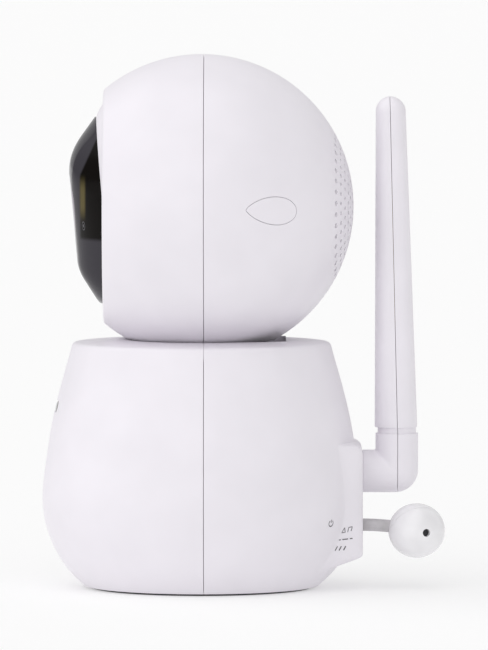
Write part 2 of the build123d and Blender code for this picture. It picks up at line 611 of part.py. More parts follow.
# ---- temperature probe -------------------------------------------------------
def probe():
    stem_r = 1.475
    start = Vector(PROBE.X, REAR_BOARD_Y - 2.0, SOCKET_Z)
    exit_point = Vector(PROBE.X, BLOCK_Y, SOCKET_Z)
    stem = rod_y(stem_r, start.Y, exit_point.Y, PROBE.X, SOCKET_Z)
    run = Vector(PROBE.X, PROBE.Y - 5.6, PROBE.Z) - exit_point
    lean = Plane(origin=exit_point, z_dir=run)
    stem += extrude(lean * Circle(stem_r), amount=run.length)
    stem += Pos(exit_point) * Sphere(stem_r)
    grommet = rod_y(3.3, BLOCK_Y - WALL, BLOCK_Y + 0.4, PROBE.X, SOCKET_Z)
    grommet += rod_y(3.9, BLOCK_Y - WALL - 1.0, BLOCK_Y - WALL, PROBE.X, SOCKET_Z)
    grommet -= rod_y(BUTTON_R + 0.9, BLOCK_Y - WALL - 1.5, BLOCK_Y - WALL, BUTTON_X, BUTTON_Z)
    bulb = Pos(PROBE) * scale(Sphere(1.0), by=(6.45, 6.75, 6.45))
    hollow = Pos(PROBE) * scale(Sphere(1.0), by=(5.2, 5.5, 5.2))
    hole_dir = Vector(cos(radians(20)), sin(radians(20)), 0)
    hole = extrude(Plane(origin=PROBE + Vector(0, 0, -0.4), z_dir=hole_dir) * Circle(0.9), amount=9)
    shell = bulb - hollow - hole - stem
    split = Plane(origin=PROBE, z_dir=(-0.82, -0.29, 0.49))
    upper = split * (Pos(0, 0, 15) * Box(30, 30, 30))
    bead = Pos(PROBE + hole_dir * 4.2 + Vector(0, 0, -0.4)) * Sphere(0.8)
    return {
        "probe_stem": stem,
        "probe_grommet": grommet - stem,
        "probe_shell_upper": shell & upper,
        "probe_shell_lower": shell - upper,
        "thermistor": bead + (Pos(PROBE + hole_dir * 2.0 + Vector(0, 0, -0.4)) * Sphere(0.6)),
    }


def main():
    os.makedirs("parts", exist_ok=True)
    groups = (
        base_shells(), base_bottom(), electronics(), buttons(), pan_drive(), turntable(),
        head_shells(), face_parts(), head_frame_parts(), speaker(), antenna(), probe(),
    )
    for group in groups:
        for name, shape in group.items():
            export_step(shape, f"parts/{name}.step")


main()
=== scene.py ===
"""Looks of a pan-and-tilt nursery camera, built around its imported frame.

Sizes in the classes are millimetres in the frame's axes: +Z up, and the lens
faces -Y.  Meshes are written in metres, with their place in the mesh.
"""

import json
import logging
import math
from dataclasses import dataclass
from enum import Enum
from typing import Callable, Sequence

import bmesh
import bpy
import numpy as np
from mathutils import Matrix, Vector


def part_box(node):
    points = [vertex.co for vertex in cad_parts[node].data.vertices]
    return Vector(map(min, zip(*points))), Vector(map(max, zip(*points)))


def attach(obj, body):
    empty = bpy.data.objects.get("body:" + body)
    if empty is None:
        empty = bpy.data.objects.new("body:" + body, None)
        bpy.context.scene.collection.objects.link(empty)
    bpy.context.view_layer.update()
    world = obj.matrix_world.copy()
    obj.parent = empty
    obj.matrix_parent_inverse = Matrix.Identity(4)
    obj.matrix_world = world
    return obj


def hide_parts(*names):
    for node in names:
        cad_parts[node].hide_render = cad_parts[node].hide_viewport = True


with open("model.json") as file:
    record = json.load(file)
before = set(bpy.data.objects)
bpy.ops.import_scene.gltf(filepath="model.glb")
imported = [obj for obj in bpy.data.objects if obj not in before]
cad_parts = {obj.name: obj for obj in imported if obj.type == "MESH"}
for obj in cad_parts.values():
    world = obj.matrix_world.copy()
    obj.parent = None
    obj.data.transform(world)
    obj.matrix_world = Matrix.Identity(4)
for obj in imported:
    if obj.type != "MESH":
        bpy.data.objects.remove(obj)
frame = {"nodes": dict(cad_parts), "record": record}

MM = 0.001
TAU = 2.0 * math.pi
CREASE = 32.0       # degrees past which an edge is sharp, where nothing else is said
log = logging.getLogger("nursery_camera")

Surface = Callable[[np.ndarray, np.ndarray, float], np.ndarray]


# --------------------------------------------------------------------------
# Shapes as arrays
# --------------------------------------------------------------------------
def smooth_line(points: Sequence[Sequence[float]], count: int) -> np.ndarray:
    """Natural cubic spline through points, spaced by chord length.

    The second derivative at each inner point comes from the usual three-term
    system, and is nought at both ends.

    Args:
        points: Points that the line passes through, any dimension.
        count: How many samples to give back.

    Returns:
        Array of count rows, one point each.
    """
    p = np.asarray(points, float)
    t = np.r_[0.0, np.cumsum(np.linalg.norm(np.diff(p, axis=0), axis=1))]
    h = np.diff(t)
    n = len(p)
    system = np.eye(n)
    right = np.zeros_like(p)
    inner = np.arange(1, n - 1)
    system[inner, inner - 1] = h[:-1]
    system[inner, inner] = 2.0 * (h[:-1] + h[1:])
    system[inner, inner + 1] = h[1:]
    slope = np.diff(p, axis=0) / h[:, None]
    right[1:-1] = 6.0 * np.diff(slope, axis=0)
    bend = np.linalg.solve(system, right)
    s = np.linspace(0.0, t[-1], count)
    k = np.clip(np.searchsorted(t, s, side="right") - 1, 0, n - 2)
    a = ((t[k + 1] - s) / h[k])[:, None]
    b = 1.0 - a
    hk = h[k][:, None]
    return a * p[k] + b * p[k + 1] + ((a**3 - a) * bend[k] + (b**3 - b) * bend[k + 1]) * hk**2 / 6.0


def inset_line(line: np.ndarray, depth: float) -> np.ndarray:
    """Moves a (radius, height) line inwards along its own normals.

    Args:
        line: Points of the line, running upwards.
        depth: How far to move, in millimetres.

    Returns:
        The moved points.
    """
    run = np.gradient(line, axis=0)
    run /= np.linalg.norm(run, axis=1)[:, None]
    return line + depth * np.c_[-run[:, 1], run[:, 0]]


def bezier(a: Sequence[float], b: Sequence[float], c: Sequence[float], count: int) -> np.ndarray:
    """Quadratic curve from a to c that leans towards b.

    Args:
        a: First point.
        b: Control point.
        c: Last point.
        count: Number of samples.

    Returns:
        Array of samples.
    """
    t = np.linspace(0.0, 1.0, count)[:, None]
    a, b, c = (np.asarray(v, float) for v in (a, b, c))
    return (1 - t) ** 2 * a + 2 * t * (1 - t) * b + t**2 * c


def soft_min(a: np.ndarray, b: np.ndarray, reach: np.ndarray | float) -> np.ndarray:
    """Smaller of two values, rounded off where they are within reach of each other.

    Args:
        a: First values.
        b: Second values.
        reach: Size of the rounded zone.

    Returns:
        The rounded minimum: it lies a quarter of the reach under the crossing.
    """
    h = np.clip(1.0 - np.abs(a - b) / reach, 0.0, 1.0)
    return np.minimum(a, b) - h * h * reach / 4.0


def superellipse(angle: np.ndarray, half_w: float, half_h: float, power: float) -> np.ndarray:
    """Radius of a superellipse, |x/w|^n + |z/h|^n = 1, at each angle.

    Args:
        angle: Angles in radians.
        half_w: Half width.
        half_h: Half height.
        power: The exponent n; 2 is an ellipse.

    Returns:
        The radius at each angle.
    """
    return ((np.abs(np.cos(angle)) / half_w) ** power
            + (np.abs(np.sin(angle)) / half_h) ** power) ** (-1.0 / power)


def pill(radius: float, shift: float, count: int) -> np.ndarray:
    """Pill outline about the origin: two half circles, each shifted sideways.

    Args:
        radius: Radius of the half circles.
        shift: How far each is moved out.
        count: Number of points.

    Returns:
        The points.
    """
    angle = np.linspace(0.0, TAU, count, endpoint=False)
    return np.c_[radius * np.cos(angle) + shift * np.sign(np.cos(angle) + 1e-9), radius * np.sin(angle)]


def sheet_faces(rows: int, cols: int, wrap: bool, start: int = 0) -> np.ndarray:
    """Quads of a grid of rows by cols points.

    Args:
        rows: Points down.
        cols: Points across.
        wrap: Whether the last column joins the first.
        start: Index of the grid's first point.

    Returns:
        Array of quads.
    """
    i, j = np.meshgrid(np.arange(rows - 1), np.arange(cols if wrap else cols - 1), indexing="ij")
    k = (j + 1) % cols
    quads = np.stack([i * cols + j, (i + 1) * cols + j, (i + 1) * cols + k, i * cols + k], axis=-1)
    return quads.reshape(-1, 4) + start


class Ends(Enum):
    """How the first and last rows of a two-sided sheet are closed."""

    BOTH = (True, True)
    FIRST = (True, False)
    LAST = (False, True)


class Solid:
    """Closed mesh in the making: points in millimetres and faces as index arrays."""

    def __init__(self) -> None:
        """Starts with nothing."""
        self.points: list[np.ndarray] = []
        self.faces: list[list[int]] = []
        self.count = 0

    def add(self, points: np.ndarray, faces: Sequence[Sequence[int]]) -> None:
        """Adds points and faces whose indices start at the new points.

        Args:
            points: Array of points in millimetres.
            faces: Faces as lists of indices into those points.
        """
        self.points.append(points.reshape(-1, 3))
        self.faces += [[k + self.count for k in f] for f in faces]
        self.count += len(self.points[-1])

    def sheet(self, outer: np.ndarray, inner: np.ndarray, wrap: bool, ends: Ends = Ends.BOTH) -> None:
        """Adds a wall between two grids of the same size, closed round its edges.

        Args:
            outer: Grid of rows by columns of points.
            inner: The other side's grid.
            wrap: Whether the columns run all the way round.
            ends: Which of the first and last rows get an edge face; the other is a pole.
        """
        rows, cols = outer.shape[:2]
        size = rows * cols
        faces = sheet_faces(rows, cols, wrap).tolist()
        faces += sheet_faces(rows, cols, wrap, size)[:, ::-1].tolist()
        j = np.arange(cols if wrap else cols - 1)
        k = (j + 1) % cols
        if ends.value[0]:
            faces += np.stack([j, k, k + size, j + size], axis=1).tolist()
        if ends.value[1]:
            low = (rows - 1) * cols
            faces += np.stack([j + low + size, k + low + size, k + low, j + low], axis=1).tolist()
        if not wrap:
            i = np.arange(rows - 1) * cols
            faces += np.stack([i + size, i + cols + size, i + cols, i], axis=1).tolist()
            i = i + cols - 1
            faces += np.stack([i, i + cols, i + cols + size, i + size], axis=1).tolist()
        self.add(np.concatenate([outer.reshape(-1, 3), inner.reshape(-1, 3)]), faces)

    def tube(self, grid: np.ndarray) -> None:
        """Adds a grid whose columns wrap, closed by a flat face at each end.

        Args:
            grid: Rows of rings.
        """
        rows, cols = grid.shape[:2]
        faces = sheet_faces(rows, cols, True).tolist()
        faces.append(list(range(cols)))
        faces.append([(rows - 1) * cols + k for k in range(cols)][::-1])
        self.add(grid, faces)

    def piece(self, name: str, crease: float = CREASE) -> bpy.types.Object:
        """Makes the Blender object, with merged poles and faces that point outwards.

        Args:
            name: The object's name.
            crease: Angle in degrees past which an edge is sharp.

        Returns:
            The linked object, at the origin.
        """
        mesh = bpy.data.meshes.new(name)
        mesh.from_pydata((np.concatenate(self.points) * MM).tolist(), [], self.faces)
        obj = bpy.data.objects.new(name, mesh)
        bpy.context.scene.collection.objects.link(obj)
        tidy_mesh(obj, crease)
        return obj


def tidy_mesh(obj: bpy.types.Object, crease: float = CREASE) -> None:
    """Merges doubled points, turns the faces outwards and shades them smooth.

    Args:
        obj: A mesh object whose solids are closed.
        crease: Angle in degrees past which an edge is sharp.
    """
    bm = bmesh.new()
    bm.from_mesh(obj.data)
    bmesh.ops.remove_doubles(bm, verts=bm.verts, dist=2e-7)
    bmesh.ops.dissolve_degenerate(bm, edges=bm.edges, dist=1e-8)
    bmesh.ops.recalc_face_normals(bm, faces=bm.faces)
    if bm.calc_volume(signed=True) < 0.0:
        bmesh.ops.reverse_faces(bm, faces=bm.faces)
    bm.to_mesh(obj.data)
    bm.free()
    obj.data.shade_smooth()
    obj.data.set_sharp_from_angle(angle=math.radians(crease))


def carve(obj: bpy.types.Object, cutter: bpy.types.Object, crease: float = CREASE) -> None:
    """Cuts one closed mesh out of another and removes the cutter.

    Args:
        obj: The piece that is cut.
        cutter: The closed mesh taken out of it.
        crease: Angle in degrees past which an edge is sharp.
    """
    modifier = obj.modifiers.new("cut", "BOOLEAN")
    modifier.operation = "DIFFERENCE"
    modifier.solver = "EXACT"
    modifier.object = cutter
    graph = bpy.context.evaluated_depsgraph_get()
    graph.update()
    result = bpy.data.meshes.new_from_object(obj.evaluated_get(graph))
    obj.modifiers.clear()
    obj.data = result
    bpy.data.objects.remove(cutter)
    tidy_mesh(obj, crease)


def halves(obj: bpy.types.Object, point: np.ndarray, normal: np.ndarray, gap: float,
           names: Sequence[str]) -> list[bpy.types.Object]:
    """Splits a solid piece at a plane into two closed pieces with a thin gap between them.

    Args:
        obj: The piece to split; it is removed.
        point: A point of the plane, in millimetres.
        normal: The plane's normal; the second piece lies on its side.
        gap: Width of the gap in millimetres.
        names: Names of the two new pieces.

    Returns:
        The two pieces.
    """
    made = []
    for side, name in zip((-1.0, 1.0), names):
        bm = bmesh.new()
        bm.from_mesh(obj.data)
        place = (np.asarray(point, float) + side * 0.5 * gap * np.asarray(normal, float)) * MM
        cut = bmesh.ops.bisect_plane(
            bm, geom=bm.verts[:] + bm.edges[:] + bm.faces[:], plane_co=place.tolist(),
            plane_no=list(normal), clear_outer=side < 0, clear_inner=side > 0)
        rim = [g for g in cut["geom_cut"] if isinstance(g, bmesh.types.BMEdge)]
        bmesh.ops.contextual_create(bm, geom=rim)
        mesh = bpy.data.meshes.new(name)
        bm.to_mesh(mesh)
        bm.free()
        half = bpy.data.objects.new(name, mesh)
        bpy.context.scene.collection.objects.link(half)
        tidy_mesh(half)
        made.append(half)
    bpy.data.objects.remove(obj)
    return made


def rods(centres: np.ndarray, radii: np.ndarray, start: float, end: float, axis: int,
         sides: int = 16) -> bpy.types.Object:
    """Parallel round rods as one object, used to cut holes.

    Args:
        centres: Two coordinates per rod, in the plane across the axis.
        radii: Radius of each rod.
        start: Where the rods begin along the axis.
        end: Where they end.
        axis: 0, 1 or 2 for X, Y or Z.
        sides: Sides of each rod.

    Returns:
        The cutter.
    """
    angle = np.linspace(0.0, TAU, sides, endpoint=False)
    others = [k for k in range(3) if k != axis]
    solid = Solid()
    for (a, b), r in zip(np.atleast_2d(centres), np.atleast_1d(radii)):
        grid = np.empty((2, sides, 3))
        grid[..., others[0]] = a + r * np.cos(angle)
        grid[..., others[1]] = b + r * np.sin(angle)
        grid[0, :, axis] = start
        grid[1, :, axis] = end
        solid.tube(grid)
    return solid.piece("cutter")


def turned(name: str, profile: Sequence[Sequence[float]], origin: Sequence[float], axis: int,
           sides: int = 96, crease: float = CREASE) -> bpy.types.Object:
    """Solid of revolution: each (radius, distance) of the profile is carried round an axis.

    Args:
        name: The piece's name.
        profile: Radius and distance along the axis, from pole to pole or closed on itself.
        origin: A point of the axis.
        axis: 0, 1 or 2 for X, Y or Z.
        sides: Points round.
        crease: Angle past which an edge is sharp.

    Returns:
        The piece.
    """
    p = np.asarray(profile, float)
    angle = np.linspace(0.0, TAU, sides, endpoint=False)
    others = [k for k in range(3) if k != axis]
    grid = np.empty((len(p), sides, 3))
    grid[..., axis] = p[:, 1:2] + origin[axis]
    grid[..., others[0]] = p[:, :1] * np.cos(angle) + origin[others[0]]
    grid[..., others[1]] = p[:, :1] * np.sin(angle) + origin[others[1]]
    solid = Solid()
    closed = np.allclose(p[0], p[-1])
    solid.add(grid, sheet_faces(len(p), sides, True).tolist())
    assert closed or (p[0, 0] < 1e-6 and p[-1, 0] < 1e-6), name
    return solid.piece(name, crease)


def patch(name: str, outline: np.ndarray, surface: Surface, top: float, bottom: float,
          rows: int = 12, centre: Sequence[float] | None = None) -> bpy.types.Object:
    """Thin solid on a curved surface: rings shrink from an outline to its centre.

    Args:
        name: The piece's name.
        outline: Closed outline in the surface's own two coordinates.
        surface: Gives the place of two coordinates at a height over the surface.
        top: Height of the upper side.
        bottom: Height of the lower side.
        rows: Rings from the centre to the outline.
        centre: Where the rings shrink to; the outline's middle if it isn't given.

    Returns:
        The piece.
    """
    mid = np.asarray(outline.mean(axis=0) if centre is None else centre, float)
    share = np.linspace(0.0, 1.0, rows)[:, None, None]
    spread = mid + share * (outline[None] - mid)
    solid = Solid()
    solid.sheet(surface(spread[..., 0], spread[..., 1], top),
                surface(spread[..., 0], spread[..., 1], bottom), True, Ends.LAST)
    return solid.piece(name)


def stroke(solid: Solid, path: np.ndarray, width: float, surface: Surface, height: float) -> None:
    """Adds a printed stroke: a path given a width, standing a hair proud of a surface.

    Args:
        solid: Where the stroke goes.
        path: Points in the surface's coordinates.
        width: Stroke width.
        surface: The surface that it lies on.
        height: How proud it stands.
    """
    run = np.gradient(path, axis=0)
    run /= np.linalg.norm(run, axis=1)[:, None]
    side = np.c_[-run[:, 1], run[:, 0]] * width / 2
    lanes = np.stack([path - side, path + side], axis=1)
    solid.sheet(surface(lanes[..., 0], lanes[..., 1], height),
                surface(lanes[..., 0], lanes[..., 1], -0.05), False)


def node_box(name: str) -> tuple[np.ndarray, np.ndarray]:
    """Lowest and highest corner of a CAD node, in millimetres."""
    low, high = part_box(name)
    return np.array(low) / MM, np.array(high) / MM


# --------------------------------------------------------------------------
# Finishes
# --------------------------------------------------------------------------
class Shader:
    """A node tree that ends in one Principled shader, read in Object coordinates."""

    def __init__(self, name: str, colour: Sequence[float], **sockets: float) -> None:
        """Makes the material.

        Args:
            name: Material name.
            colour: Linear base colour.
            **sockets: Principled sockets by name, with underscores for spaces.
        """
        self.material = bpy.data.materials.new(name)
        self.material.use_nodes = True
        self.tree = self.material.node_tree
        self.base = self.tree.nodes["Principled BSDF"]
        self.base.inputs["Base Color"].default_value = (*colour, 1.0)
        for key, value in sockets.items():
            self.base.inputs[key.replace("_", " ")].default_value = value
        self.place = self.tree.nodes.new("ShaderNodeTexCoord").outputs["Object"]

    def node(self, kind: str, **values: object) -> bpy.types.Node:
        """Adds a node and sets its inputs by name.

        Args:
            kind: The node's type without its ShaderNode prefix.
            **values: Input values by name, with underscores for spaces.

        Returns:
            The node.
        """
        made = self.tree.nodes.new("ShaderNode" + kind)
        for key, value in values.items():
            made.inputs[key.replace("_", " ")].default_value = value
        return made

    def link(self, source: bpy.types.NodeSocket, target: bpy.types.NodeSocket) -> None:
        """Joins two sockets."""
        self.tree.links.new(source, target)

    def noise(self, size_mm: float, detail: float = 2.0,
              stretch: Sequence[float] = (1, 1, 1)) -> bpy.types.NodeSocket:
        """Noise with features of a given size.

        Args:
            size_mm: Size of one feature.
            detail: Octaves.
            stretch: How much finer the pattern is along each axis.

        Returns:
            The noise value.
        """
        mapping = self.node("Mapping", Scale=tuple(stretch))
        self.link(self.place, mapping.inputs["Vector"])
        made = self.node("TexNoise", Scale=1.0 / (size_mm * MM), Detail=detail)
        self.link(mapping.outputs["Vector"], made.inputs["Vector"])
        return made.outputs["Fac"]

    def vary(self, value: bpy.types.NodeSocket, target: str, low: object, high: object,
             start: float = 0.3, end: float = 0.7) -> None:
        """Drives a socket between two values, or two colours, by a pattern.

        Args:
            value: The pattern.
            target: The Principled socket.
            low: Value or colour at the pattern's start.
            high: Value or colour at its end.
            start: Pattern value at the start.
            end: Pattern value at the end.
        """
        ramp = self.node("ValToRGB")
        for stop, place, tone in zip(ramp.color_ramp.elements, (start, end), (low, high)):
            stop.position = place
            stop.color = (*tone, 1.0) if isinstance(tone, (tuple, list)) else (tone, tone, tone, 1.0)
        self.link(value, ramp.inputs["Fac"])
        self.link(ramp.outputs["Color"], self.base.inputs[target])

    def math(self, operation: str, *values: bpy.types.NodeSocket | float) -> bpy.types.NodeSocket:
        """Result of a maths node.

        Args:
            operation: Blender's name for the sum.
            *values: Sockets to link or numbers to set, in order.

        Returns:
            The value.
        """
        made = self.node("Math")
        made.operation = operation
        for value, slot in zip(values, made.inputs):
            if isinstance(value, float):
                slot.default_value = value
            else:
                self.link(value, slot)
        return made.outputs["Value"]

    def bump(self, value: bpy.types.NodeSocket, depth_mm: float) -> None:
        """Raises the surface by a pattern.

        Args:
            value: The height pattern, 0 to 1.
            depth_mm: Height of the pattern.
        """
        made = self.node("Bump", Strength=1.0, Distance=depth_mm * MM)
        self.link(value, made.inputs["Height"])
        if self.base.inputs["Normal"].is_linked:
            self.link(self.base.inputs["Normal"].links[0].from_socket, made.inputs["Normal"])
        self.link(made.outputs["Normal"], self.base.inputs["Normal"])


def scaled(colour: Sequence[float], share: float) -> tuple[float, float, float]:
    """A colour made lighter or darker by a share."""
    return tuple(min(1.0, c * share) for c in colour)


@dataclass(frozen=True)
class Moulded:
    """Moulded plastic: a fine spark-eroded grain and a faint mottle."""

    name: str
    colour: tuple[float, float, float]
    roughness: float = 0.42
    grain_mm: float = 0.22
    grain_depth: float = 0.004
    mottle: float = 0.02

    def material(self) -> bpy.types.Material:
        """Builds the material."""
        s = Shader(self.name, self.colour, Roughness=self.roughness, IOR=1.49)
        s.vary(s.noise(14.0), "Base Color", scaled(self.colour, 1 - self.mottle),
               scaled(self.colour, 1 + self.mottle))
        s.vary(s.noise(3.0), "Roughness", self.roughness - 0.04, self.roughness + 0.04)
        s.bump(s.noise(self.grain_mm, 3.0), self.grain_depth)
        return s.material


@dataclass(frozen=True)
class Gloss:
    """Polished plastic: near-mirror skin with a slow ripple from the mould."""

    name: str
    colour: tuple[float, float, float]
    roughness: float = 0.07
    ripple_mm: float = 9.0
    ripple_depth: float = 0.006

    def material(self) -> bpy.types.Material:
        """Builds the material."""
        s = Shader(self.name, self.colour, Roughness=self.roughness, IOR=1.5,
                   Coat_Weight=0.4, Coat_Roughness=0.03)
        s.vary(s.noise(11.0), "Base Color", scaled(self.colour, 0.9), scaled(self.colour, 1.1))
        s.vary(s.noise(2.2, 4.0), "Roughness", self.roughness * 0.8, self.roughness * 1.5)
        s.bump(s.noise(self.ripple_mm), self.ripple_depth)
        return s.material


@dataclass(frozen=True)
class Smoked:
    """Smoked cover: charcoal all over as a painted grey reflection of the studio, near-black on its upper
    flanks where none is painted, with a painted olive sheen there.
    """

    name: str
    colour: tuple[float, float, float]
    black: tuple[float, float, float]
    sheen: tuple[float, float, float]
    centre_z: float
    roughness: float = 0.1
    # Where the cover stays near-black with no painted reflection, and where the painted olive sheen lies.
    dark_y: tuple[float, float] = (-28.5, -15.0)
    dark_z: tuple[float, float] = (-7.2, 30.0)
    glow_y: tuple[float, float] = (-28.5, -27.3)
    glow_z: tuple[float, float] = (-1.5, 6.2)
    crease_slope: float = -2.17
    crease_dz: float = 69.7

    def band(self, s: Shader, value: bpy.types.NodeSocket, low: float, high: float,
             soft: float) -> bpy.types.NodeSocket:
        """One inside a band of values, nought outside, with soft ends, all in millimetres."""
        ends = []
        for place, sign in ((low, 1.0), (high, -1.0)):
            end = s.node("MapRange")
            end.interpolation_type = "SMOOTHSTEP"
            s.link(value, end.inputs["Value"])
            end.inputs["From Min"].default_value = (place - sign * soft) * MM
            end.inputs["From Max"].default_value = (place + sign * soft) * MM
            ends.append(end.outputs["Result"])
        return s.math("MULTIPLY", *ends)

    def tint(self, s: Shader, base: bpy.types.NodeSocket | None, mask: bpy.types.NodeSocket,
             colour: Sequence[float]) -> bpy.types.NodeSocket:
        """Mixes a colour in where the mask is one."""
        mix = s.node("MixRGB")
        mix.inputs["Color1"].default_value = (*self.colour, 1.0)
        mix.inputs["Color2"].default_value = (*colour, 1.0)
        s.link(mask, mix.inputs["Fac"])
        if base is not None:
            s.link(base, mix.inputs["Color1"])
        return mix.outputs["Color"]

    def material(self) -> bpy.types.Material:
        """Builds the material from bands across Y and up Z that place the painted reflection and the painted
        sheen.
        """
        s = Shader(self.name, self.colour, Roughness=self.roughness, IOR=1.5, Specular_IOR_Level=0.02)
        split = s.node("SeparateXYZ")
        s.link(s.place, split.inputs["Vector"])
        y, z = split.outputs["Y"], split.outputs["Z"]
        over_crease = s.math("MULTIPLY_ADD", y, self.crease_slope, z)
        # Near-black part: no painted reflection here; the charcoal ground elsewhere is painted grey
        # reflection.
        no_reflection_mask = s.math("MULTIPLY", self.band(s, y, *self.dark_y, 0.25),
                      self.band(s, z, *(self.centre_z + end for end in self.dark_z), 0.6))
        no_reflection_mask = s.math("MULTIPLY", no_reflection_mask, self.band(s, over_crease, 0.0, self.centre_z + self.crease_dz, 0.7))
        # Painted olive sheen: a reflection in the cover, put into its colour.
        painted_sheen_mask = s.math("MULTIPLY", self.band(s, y, *self.glow_y, 0.35),
                      self.band(s, z, *(self.centre_z + end for end in self.glow_z), 2.2))
        colour = self.tint(s, self.tint(s, None, no_reflection_mask, self.black), painted_sheen_mask, self.sheen)
        s.link(colour, s.base.inputs["Base Color"])
        s.vary(s.noise(2.2, 4.0), "Roughness", self.roughness * 0.8, self.roughness * 1.4)
        s.bump(s.noise(9.0), 0.004)
        return s.material


@dataclass(frozen=True)
class Rubber:
    """Matte elastomer with a dusty, pebbled skin."""

    name: str
    colour: tuple[float, float, float]
    roughness: float = 0.75

    def material(self) -> bpy.types.Material:
        """Builds the material."""
        s = Shader(self.name, self.colour, Roughness=self.roughness, IOR=1.47, Sheen_Weight=0.15)
        s.vary(s.noise(2.5, 4.0), "Base Color", scaled(self.colour, 0.88), scaled(self.colour, 1.12))
        s.bump(s.noise(0.16, 3.0), 0.012)
        return s.material


@dataclass(frozen=True)
class Metal:
    """Plated or turned metal with fine tool lines and worn patches."""

    name: str
    colour: tuple[float, float, float]
    roughness: float = 0.3
    lines: tuple[float, float, float] = (1.0, 1.0, 18.0)

    def material(self) -> bpy.types.Material:
        """Builds the material."""
        s = Shader(self.name, self.colour, Roughness=self.roughness, Metallic=1.0)
        s.vary(s.noise(4.0, 3.0), "Base Color", scaled(self.colour, 0.86), scaled(self.colour, 1.06))
        s.vary(s.noise(1.5, 4.0, self.lines), "Roughness", self.roughness * 0.8, self.roughness * 1.35)
        s.bump(s.noise(1.2, 2.0, self.lines), 0.003)
        return s.material


@dataclass(frozen=True)
class Circuit:
    """Printed board: solder mask over copper tracks that show as slightly raised, lighter lines."""

    name: str
    colour: tuple[float, float, float]

    def material(self) -> bpy.types.Material:
        """Builds the material."""
        s = Shader(self.name, self.colour, Roughness=0.35, IOR=1.5, Coat_Weight=0.3)
        tracks = s.node("TexBrick", Scale=330.0, Mortar_Size=0.12, Brick_Width=0.9, Row_Height=0.28)
        tracks.inputs["Color1"].default_value = (*scaled(self.colour, 0.8), 1.0)
        tracks.inputs["Color2"].default_value = (*self.colour, 1.0)
        tracks.inputs["Mortar"].default_value = (*scaled(self.colour, 2.1), 1.0)
        s.link(s.place, tracks.inputs["Vector"])
        s.link(tracks.outputs["Color"], s.base.inputs["Base Color"])
        s.bump(tracks.outputs["Fac"], 0.03)
        return s.material


@dataclass(frozen=True)
class Woven:
    """Dust cloth or pressed paper: crossed threads from two wave patterns."""

    name: str
    colour: tuple[float, float, float]
    thread_mm: float = 0.35

    def material(self) -> bpy.types.Material:
        """Builds the material."""
        s = Shader(self.name, self.colour, Roughness=0.85, Sheen_Weight=0.2)
        heights = []
        for direction in ("X", "Z"):
            wave = s.node("TexWave", Scale=0.16 / (self.thread_mm * MM), Distortion=0.4)
            wave.bands_direction = direction
            s.link(s.place, wave.inputs["Vector"])
            heights.append(wave.outputs["Fac"])
        threads = s.math("MAXIMUM", *heights)
        s.vary(threads, "Base Color", scaled(self.colour, 0.5), scaled(self.colour, 1.3), 0.1, 0.9)
        s.bump(threads, 0.05)
        return s.material


@dataclass(frozen=True)
class Glass:
    """Clear or smoked window: light goes through, and the coat gives a coloured glint."""

    name: str
    colour: tuple[float, float, float]
    through: float = 0.9
    film_nm: float = 0.0

    def material(self) -> bpy.types.Material:
        """Builds the material."""
        s = Shader(self.name, self.colour, Roughness=0.03, IOR=1.5, Transmission_Weight=self.through,
                   Thin_Film_Thickness=self.film_nm, Thin_Film_IOR=1.38)
        s.vary(s.noise(6.0, 2.0), "Roughness", 0.02, 0.05)
        return s.material


class Finish(Enum):
    """Every finish of the camera, by the name of its slot in the record."""

    WHITE_SHELL = Moulded("white_shell", (0.83, 0.80, 0.85))
    PROBE_GLOSS = Gloss("probe_gloss", (0.86, 0.85, 0.87), roughness=0.12)
    GREY_RUBBER = Rubber("grey_rubber", (0.55, 0.53, 0.55))
    FOOT_RUBBER = Rubber("foot_rubber", (0.03, 0.03, 0.033))
    # Charcoal ground is painted grey reflection, near-black is the cover where none is painted, and the
    # olive is a painted sheen.
    FACE_GLOSS = Smoked("face_gloss", (0.045, 0.042, 0.050), (0.003, 0.002, 0.0015),
                        (0.10, 0.08, 0.03), 90.4)
    WINDOW_GLASS = Glass("window_glass", (0.02, 0.018, 0.016), through=0.55, film_nm=420.0)
    INDICATOR_BLACK = Gloss("indicator_black", (0.02, 0.02, 0.022))
    BUTTON_WHITE = Moulded("button_white", (0.78, 0.76, 0.80), roughness=0.35)
    INNER_PLASTIC = Moulded("inner_plastic", (0.03, 0.03, 0.032), roughness=0.55, grain_depth=0.01)
    GEAR_WHITE = Moulded("gear_white", (0.74, 0.72, 0.66), roughness=0.3)
    BRONZE = Metal("bronze", (0.50, 0.32, 0.15), roughness=0.45)
    STEEL = Metal("steel", (0.56, 0.56, 0.58))
    MOTOR_ZINC = Metal("motor_zinc", (0.48, 0.49, 0.51), roughness=0.38)
    BRASS = Metal("brass", (0.62, 0.45, 0.18), roughness=0.25)
    BOARD_GREEN = Circuit("board_green", (0.012, 0.11, 0.045))
    CHIP_BLACK = Moulded("chip_black", (0.02, 0.02, 0.021), roughness=0.5, mottle=0.1)
    LED_CLEAR = Glass("led_clear", (0.8, 0.82, 0.9))
    CABLE_BLACK = Rubber("cable_black", (0.025, 0.025, 0.026))
    SPEAKER_PAPER = Woven("speaker_paper", (0.09, 0.09, 0.088), thread_mm=0.9)
    SPEAKER_CLOTH = Woven("speaker_cloth", (0.035, 0.035, 0.036))
    # Grey of the flank's real print, and of the painted LED glints on the face.
    PRINT_GREY = Moulded("print_and_painted_glint_grey", (0.10, 0.095, 0.105), roughness=0.6)
    LENS_COATED = Glass("lens_coated", (0.12, 0.10, 0.2), through=0.8, film_nm=300.0)


